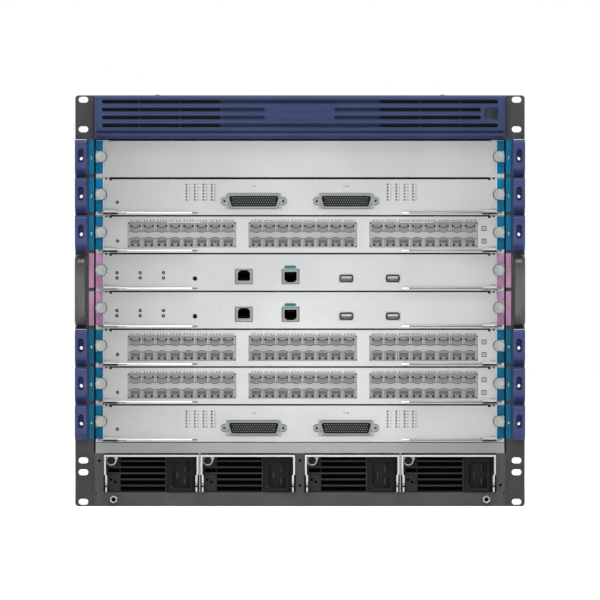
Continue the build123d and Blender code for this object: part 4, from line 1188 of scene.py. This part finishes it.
spring = [(0.0, 0.4), (7.5, 0.4), (9.5, 3.2), (10.0, 3.0), (7.9, -0.1), (0.0, -0.1)]
contact_unit = swept(spring, -0.2, 0.2, 0.03, 1)
speck_unit = disc(0, 0, 0.7, 10, -0.1, 0.2, 0.03)
reset_ring = turned([(1.9, -0.25), (2.4, -0.3), (2.5, 0.0), (1.9, 0.0)], 24)
USB_PLACES = (49.8, 99.7)
for slot in SUPERVISOR_SLOTS:
    body, top = card_body(slot), line_of(slot)
    z = top - 24.6
    rims, covers, linings, wipers, wiper_turns = [], [], [], [], []
    for x, notch in ((-60.25, 1), (-10.15, -1)):
        hood, box = around(x, z, 8.7, 8.0, 6.9, 0.6), around(x, z, 5.6, 3.9, 3.9, 0.3)
        rims.append(cut_plate(hood, [jack_outline(x, z, notch, 0.1)], FACE - 0.9, 0.6, 0.2))
        cover = around(x, z, 9.9, 8.4, 8.4, 0.6)
        covers.append(cut_plate(cover, [jack_outline(x, z, notch, 0.2)], FACE - 0.5, 0.5, 0.1))
        linings += [
            cut_plate(around(x, z, 9.1, 8.4, 7.3, 0.8),
                      [around(x, z, 8.4, 7.7, 6.6, 0.6)], FACE - 0.6, 0.3, 0.05),
            cut_plate(jack_outline(x, z, notch, 0.15), [box], FACE - 0.3, 0.25, 0.05),
            cut_plate(around(x, z, 6.45, 4.45, 4.45, 0.1),
                      [around(x, z, 5.6, 3.9, 3.9, 0.1)], FACE + 0.1, 14.0, 0.02),
            cut_plate(around(x, z, 6.3, 4.3, 4.3, 0.2), [], FACE + 14.2, 0.3, 0.05)]
        wipers += [(x + (i - 3.5) * 1.05, FACE + 5.0, z - notch * 3.2) for i in range(8)]
        wiper_turns += [(0.0 if notch > 0 else 180.0, 0.0, 0.0 if notch > 0 else 180.0)] * 8
    on_card("jack_rims", slot, joined(rims), "shell_nickel")
    on_card("jack_covers", slot, joined(covers), "panel_silver")
    on_card("jack_linings", slot, joined(linings), "black_and_hole_shade")
    specks = [(x, FACE, top - 20.5) for x in (-94.8, -86.0)]
    card_copies("panel_specks", slot, speck_unit, specks, "port_grey")
    card_copies("jack_contacts", slot, contact_unit, wipers, "contact_gold", wiper_turns)
    pill = cut_plate(rounded(-16.8, -4.2, top - 16.2, top - 13.0, 1.55), [], FACE - 0.7, 0.7, 0.1)
    on_card("jack_tag", slot, pill, "tag_teal")
    z = top - 26.9
    collars = [cut_plate(around(x, z, 7.6, 4.1, 4.1, 3.0),
                         [around(x, z, 6.4, 3.0, 3.0, 2.2)], FACE - 0.6, 1.0, 0.2) for x in USB_PLACES]
    on_card("usb_collars", slot, joined(collars), "port_dark")
    plates = [cut_plate(around(x, z, 8.6, 4.9, 4.9, 0.6),
                        [around(x, z, 7.3, 3.8, 3.8, 2.8)], FACE - 0.2, 0.3, 0.05) for x in USB_PLACES]
    on_card("usb_plates", slot, joined(plates), "panel_silver")
    tongues = [bar(x - 5.6, x + 5.6, z - 2.7, z + 2.9, FACE + 0.3, 1.6, 0.3) for x in USB_PLACES]
    on_card("usb_tongues", slot, joined(tongues), "usb_grey")
    card_copies("reset_rim", slot, reset_ring, [(-112.8, FACE, top - 27.0)], "black_and_hole_shade")

# %% [markdown]
# ## Ejector levers
# A lever shows its thin front edge. Near the pivot, dark bars along the edge and under it are painted shade
# and shadow. Along the rest of the left lever a bright bar is a painted highlight; on the right lever a
# panel-toned bar and a dark line paint the edge in shade, with a short painted highlight at its free end. A
# rivet joins the lever to its lugs, and a small clip holds the free end of the left one.

# %% Levers
def side_bar(sign, near, far, low, high, face, thickness, edge):
    """A bar given for the right side, and mirrored where sign is -1."""
    return bar(*sorted((sign * near, sign * far)), low, high, face, thickness, edge)


rivet = turned([(0.0, -1.0), (1.5, -0.9), (2.1, -0.4), (2.3, 0.0), (0.0, 0.0)], 16)
dot_unit = disc(0, 0, 1.15, 10, -0.25, 0.3)
for slot in CARD_SLOTS:
    floor = line_of(slot + 1)
    pivot_shade_finish = "port_grey" if slot in SUPERVISOR_SLOTS else "rib_black"
    for side, sign in SIDES:
        # dark bars along the edge near the pivot are painted shade
        sleeve_and_pivot_shade = [side_bar(sign, 196.0, 210.4, floor + 2.4, floor + 3.5, FACE - 9.75, 0.4, 0.08),
                  side_bar(sign, 186.0, 196.0, floor + 2.4, floor + 3.1, FACE - 9.65, 0.3, 0.06)]
        lever = f"lever_{side}_{slot}"
        add_piece(f"lever_sleeve_{side}_{slot}", joined(sleeve_and_pivot_shade), lever, pivot_shade_finish)
    # the bright bars on the edges are painted highlights
    left_edge_highlight = bar(-185.5, -116.8, floor + 2.5, floor + 3.9, FACE - 9.7, 0.4, 0.1)
    add_piece(f"lever_edge_left_{slot}", left_edge_highlight, f"lever_left_{slot}", "edge_highlight")
    right_edge_highlight = bar(110.4, 116.4, floor + 2.3, floor + 4.0, FACE - 9.9, 1.2, 0.3)
    add_piece(f"lever_edge_right_{slot}", right_edge_highlight, f"lever_right_{slot}", "edge_highlight")
    # the right lever's edge is painted in shade: a panel-toned bar with a dark line under it
    shade = bar(117.0, 195.8, floor + 2.9, floor + 4.05, FACE - 9.7, 0.5, 0.1)
    add_piece(f"lever_shade_right_{slot}", shade, f"lever_right_{slot}", "panel_silver")
    line = bar(117.2, 195.8, floor + 2.3, floor + 2.9, FACE - 9.65, 0.3, 0.06)
    add_piece(f"lever_line_right_{slot}", line, f"lever_right_{slot}", "ink_and_shade_dark")
    # dark bars under the pivots are painted shadow
    pivot_shadow_bars = [side_bar(sign, 195.8, 211.4, floor + 1.0, floor + 2.1, FACE - 9.8, 0.5, 0.1) for sign in (-1, 1)]
    on_card("lever_stops", slot, joined(pivot_shadow_bars), pivot_shade_finish)
    clip = [bar(x, x + 1.1, floor + 2.0, floor + 3.7, FACE - 2.0, 2.0, 0.3) for x in (-115.3, -113.4, -111.5)]
    clip.append(bar(-115.3, -110.2, floor + 2.5, floor + 3.2, FACE - 1.6, 1.6, 0.2))
    on_card("lever_clip", slot, joined(clip), "port_shade")
    spots = [(sign * 207.0, FACE - 6.0, floor + 5.8) for sign in (-1, 1)]
    card_copies("lever_rivets", slot, rivet, spots, "knob_silver", UPWARD)
    # Dark dots at the top of each panel gap are painted shade.
    dots = [(sign * x, FACE, line_of(slot) - 0.8 - drop)
            for sign in (-1, 1) for x, drop in ((208.0, 0.0), (203.0, 1.0))]
    card_copies("gap_dots", slot, dot_unit, dots, "gasket_black")

# %% [markdown]
# ## Power supplies
# The front of a supply is black: six louvres, a pad with two lights, an inlet, and a thumb screw on a
# bright corner bracket. A bright handle swings on two pivots in front of it.

# %% Power supplies
bracket = [(2.2, 53.0), (2.2, 47.0), *arc(7.6, 49.2, 5.7, 205, 325, 10), (14.2, 50.6), (14.9, 53.0)]
LOUVRES = [18.8 + 6.6 * i for i in range(6)]
INLET = ((71.6, 22.4), (75.6, 18.4), (92.4, 18.4), (92.4, 48.4), (75.6, 48.4), (71.6, 44.4))
LIGHTS = ((7.1, 28.4), (11.7, 25.9))
supply_screw = joined([cut_plate(gear(4.3, 24, 0.2), [], -6.0, 5.0, 0.1),
                       turned([(0.0, -6.3), (2.2, -6.25), (2.6, -5.95), (0.0, -5.9)])])
for number, left in enumerate(SUPPLY_LEFTS, 1):
    body = f"power_supply_{number}"
    right, high = left + 101.4, SUPPLY_LOW + 40.0
    outline = rectangle(left, right, SUPPLY_LOW, high)
    mouth = [(left + u, v) for u, v in INLET]
    openings = [rounded(left + 17.6, left + 65.4, z - 2.2, z + 2.2, 0.3, 2) for z in LOUVRES]
    openings.append(rounded(left + 4.6, left + 16.6, 36.4, 40.6, 0.3, 2))
    face = cut_plate(outline, [*openings, mouth], FACE, 6.0, 0.3)
    middle = cut_plate(outline, [mouth], FACE + 6.0, 10.5, 0.05)
    case = cut_plate(outline, [], FACE + 16.5, 283.5, 0.3)
    block = cut_plate(rounded(left + 68.0, left + 96.0, 15.3, 51.6, 0.6), [mouth], FACE - 1.5, 1.5, 0.3)
    tabs = [bar(left + x, left + x + 2.0, SUPPLY_LOW, 20.8, FACE - 9.0, 9.0, 0.3) for x in (1.3, 98.1)]
    add_piece(f"supply_case_{number}", joined([face, middle, case, block, *tabs]), body, "supply_black",
              hides=[f"power_supply_{number}"])
    centre = left + 82.0
    inner = [(centre + (u - left - 82.0) * 0.97, 33.4 + (v - 33.4) * 0.97) for u, v in mouth]
    sleeve_and_pivot_shade = [cut_plate(mouth, [inner], FACE - 1.4, 17.6, 0.05), cut_plate(mouth, [], FACE + 16.2, 0.4, 0.05)]
    sleeve_and_pivot_shade += [bar(centre + x - 1.0, centre + x + 1.0, 33.4 + z - 4.0, 33.4 + z + 4.0, FACE + 1.5, 14.8, 0.3)
               for x, z in ((-3.8, 0.0), (4.0, 6.89), (4.0, -6.89))]
    add_piece(f"inlet_socket_{number}", joined(sleeve_and_pivot_shade), body, "socket_black")
    ribs = [bar(left + start, left + 65.6, z - 0.8, z + 0.8, FACE - 0.3, 1.0, 0.25)
            for start, z in ((17.5, 22.1), (17.5, 28.7), (5.2, 35.2), (5.2, 41.8), (17.5, 48.4))]
    ribs.append(bar(left + 65.7, left + 67.0, 15.6, 50.2, FACE - 0.3, 0.6, 0.2))
    add_piece(f"louvre_ribs_{number}", joined(ribs), body, "rib_black")
    # Near-black plates behind the louvres and discs in the light holes are painted shade in those openings.
    hole_shades = [bar(left + 17.7, left + 65.3, z - 2.1, z + 2.1, FACE + 5.7, 0.4, 0.05) for z in LOUVRES]
    hole_shades.append(bar(left + 4.7, left + 16.5, 36.5, 40.5, FACE + 5.7, 0.4, 0.05))
    hole_shades += [disc(left + u, v, 1.5, 16, FACE - 0.2, 0.3) for u, v in LIGHTS]
    add_piece(f"louvre_depths_{number}", joined(hole_shades), body, "black_and_hole_shade")
    pad = cut_plate(rounded(left + 4.3, left + 17.2, 15.6, 33.8, 0.8),
                    [circle(left + u, v, 1.5, 16) for u, v in LIGHTS], FACE - 0.5, 0.5, 0.12)
    add_piece(f"light_pad_{number}", pad, body, "pad_black")
    plate = cut_plate([(left + u, v) for u, v in bracket], [], FACE - 1.2, 1.2, 0.2)
    feet = [bar(left + x, left + x + 1.9, 15.3, 20.7, FACE - 9.08, 0.4, 0.1) for x in (1.35, 98.15)]
    add_piece(f"corner_bracket_{number}", joined([plate, *feet]), body, "bail_steel")
    copies(f"supply_screw_{number}", supply_screw, [(left + 7.6, FACE, 49.2)], body, "supply_black")
edges = [side_bar(sign, 106.95, 108.55, 15.2, 56.8, FACE - 0.2, 2.0, 0.2) for sign in (-1, 1)]
add_piece("divider_edges", joined(edges), "chassis", "bail_steel")

# %% Jacks and screws of the front
nut = cut_plate(arc(0, 0, 4.35, 30, 390, 6)[:-1], [circle(0, 0, 2.3, 20)], -12.0, 12.0, 0.3)
spots = pair(200.0, 7.45)
copies("grounding_jacks", nut, spots, "chassis", "jack_brass")
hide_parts("chassis_fasteners")
# the black disc inside each grounding jack's hole is painted shade
bore = turned([(0.0, -11.0), (2.4, -11.0), (2.4, -9.0), (0.0, -9.0)])
copies("jack_bores", bore, spots, "chassis", "black_and_hole_shade")


def pan_screw(radius, rise):
    """A low domed head with a cross recess, on the plane y = 0 facing the front."""
    dome = turned([(0.0, -rise), (radius * 0.5, -rise * 0.94), (radius * 0.85, -rise * 0.6),
                   (radius, -0.1), (radius, 0.0), (0.0, 0.0)], 20)
    long, short = radius * 0.55, 0.5 * radius * 0.3
    for a, b in ((long, short), (short, long)):
        dome = cut_from(dome, [cut_plate(rectangle(-a, a, -b, b), [], -rise * 2, rise * 1.6, 0.02)])
    return dome


small_screw = pan_screw(1.5, 0.7)
posts = [(-215.3, FACE, 48.8), (215.3, FACE, 22.8), (0.0, FACE, 49.0), (0.0, FACE, 22.3)]
copies("post_screws", small_screw, posts, "chassis", "black_and_hole_shade")
cover_screw = pan_screw(2.7, 1.3)
tops = [(sign * 153.0, -218.0, TOP) for sign in (-1, 1)]
copies("cover_screws", cover_screw, tops, "chassis", "jack_brass", UPWARD)

# %% [markdown]
# ## The hidden sides
# The same small screw holds the sheets together at the back, on the sides and on top. Only its turn changes:
# it faces the front as it is made, and a turn about Z or X brings it to another side.

# %% Screws of the other sides
sheet_screw = pan_screw(2.4, 0.9)
rear_spots = [(sign * 214.0, REAR, z) for sign in (-1, 1) for z in (24.0, 108.0, 240.0, 374.0, 430.0)]
rear_spots += [(x, REAR, z) for x in (-140.0, -70.0, 0.0, 70.0, 140.0) for z in (100.0, 430.0)]
copies("rear_screws", sheet_screw, rear_spots, "chassis", "jack_brass", BACKWARD)
for side, sign in SIDES:
    tray = [(sign * x, REAR + 1.5, z) for x in (6.5, 202.0) for z in (124.0, 241.0, 358.0)]
    copies(f"tray_screws_{side}", sheet_screw, tray, f"fan_tray_{side}", "knob_silver",
           BACKWARD)
    ear = [(sign * (HALF_BODY + 2.0), FACE + 30.0, z) for z in (30.0, 125.0, 220.0, 315.0, 410.0)]
    plate = [(sign * HALF_BODY, y, z) for y in (-150.0, -75.0, 0.0, 75.0, 150.0, 215.0) for z in (8.0, 432.0)]
    copies(f"side_screws_{side}", sheet_screw, ear + plate, "chassis", "jack_brass",
           (0.0, 0.0, sign * 90.0))
top_spots = [(sign * 211.0, y, TOP) for sign in (-1, 1) for y in (-190.0, -95.0, 0.0, 95.0, 190.0)]
copies("top_screws", sheet_screw, top_spots, "chassis", "jack_brass", UPWARD)

# %% [markdown]
# ## What a drawn card shows
# When a card slides out, its board comes into view. Chips and finned coolers stand on it, well clear of the
# card above.

# %% Chips and coolers on the boards
finish("chip_black", moulded("121314", "191a1b", 0.45), Specular_IOR_Level=0.3)
finish("fin_metal", satin_metal("6f7375", "7d8183", 0.4), Metallic=0.8)
BOARD_TOP = 6.8
chip = bar(-13.0, 13.0, -13.0, 13.0, -2.2, 2.2, 0.4)
fins = [bar(x - 0.5, x + 0.5, -19.5, 19.5, -14.0, 12.2, 0.15) for x in range(-18, 19, 4)]
cooler = joined([bar(-20.0, 20.0, -20.0, 20.0, -2.6, 2.6, 0.4), *fins])
memory = bar(-6.0, 6.0, -4.0, 4.0, -1.2, 1.2, 0.2)
for slot in CARD_SLOTS:
    body, z = card_body(slot), line_of(slot + 1) + BOARD_TOP
    spots = [(x, -60.0, z) for x in (-120.0, 0.0, 120.0)]
    card_copies("coolers", slot, cooler, spots, "fin_metal", UPWARD)
    spots = [(x, y, z) for x in (-165.0, -60.0, 60.0, 165.0) for y in (-110.0, -10.0)]
    card_copies("chips", slot, chip, spots, "chip_black", UPWARD)
    spots = [(x * 18.0, y, z) for x in range(-9, 10) for y in (40.0, 56.0)]
    card_copies("memories", slot, memory, spots, "chip_black", UPWARD)

# %% The size of what is drawn
def write_sizes():
    corners = [list(corner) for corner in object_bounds()]
    return corners


print("visual box", [[round(v, 4) for v in c] for c in write_sizes()])
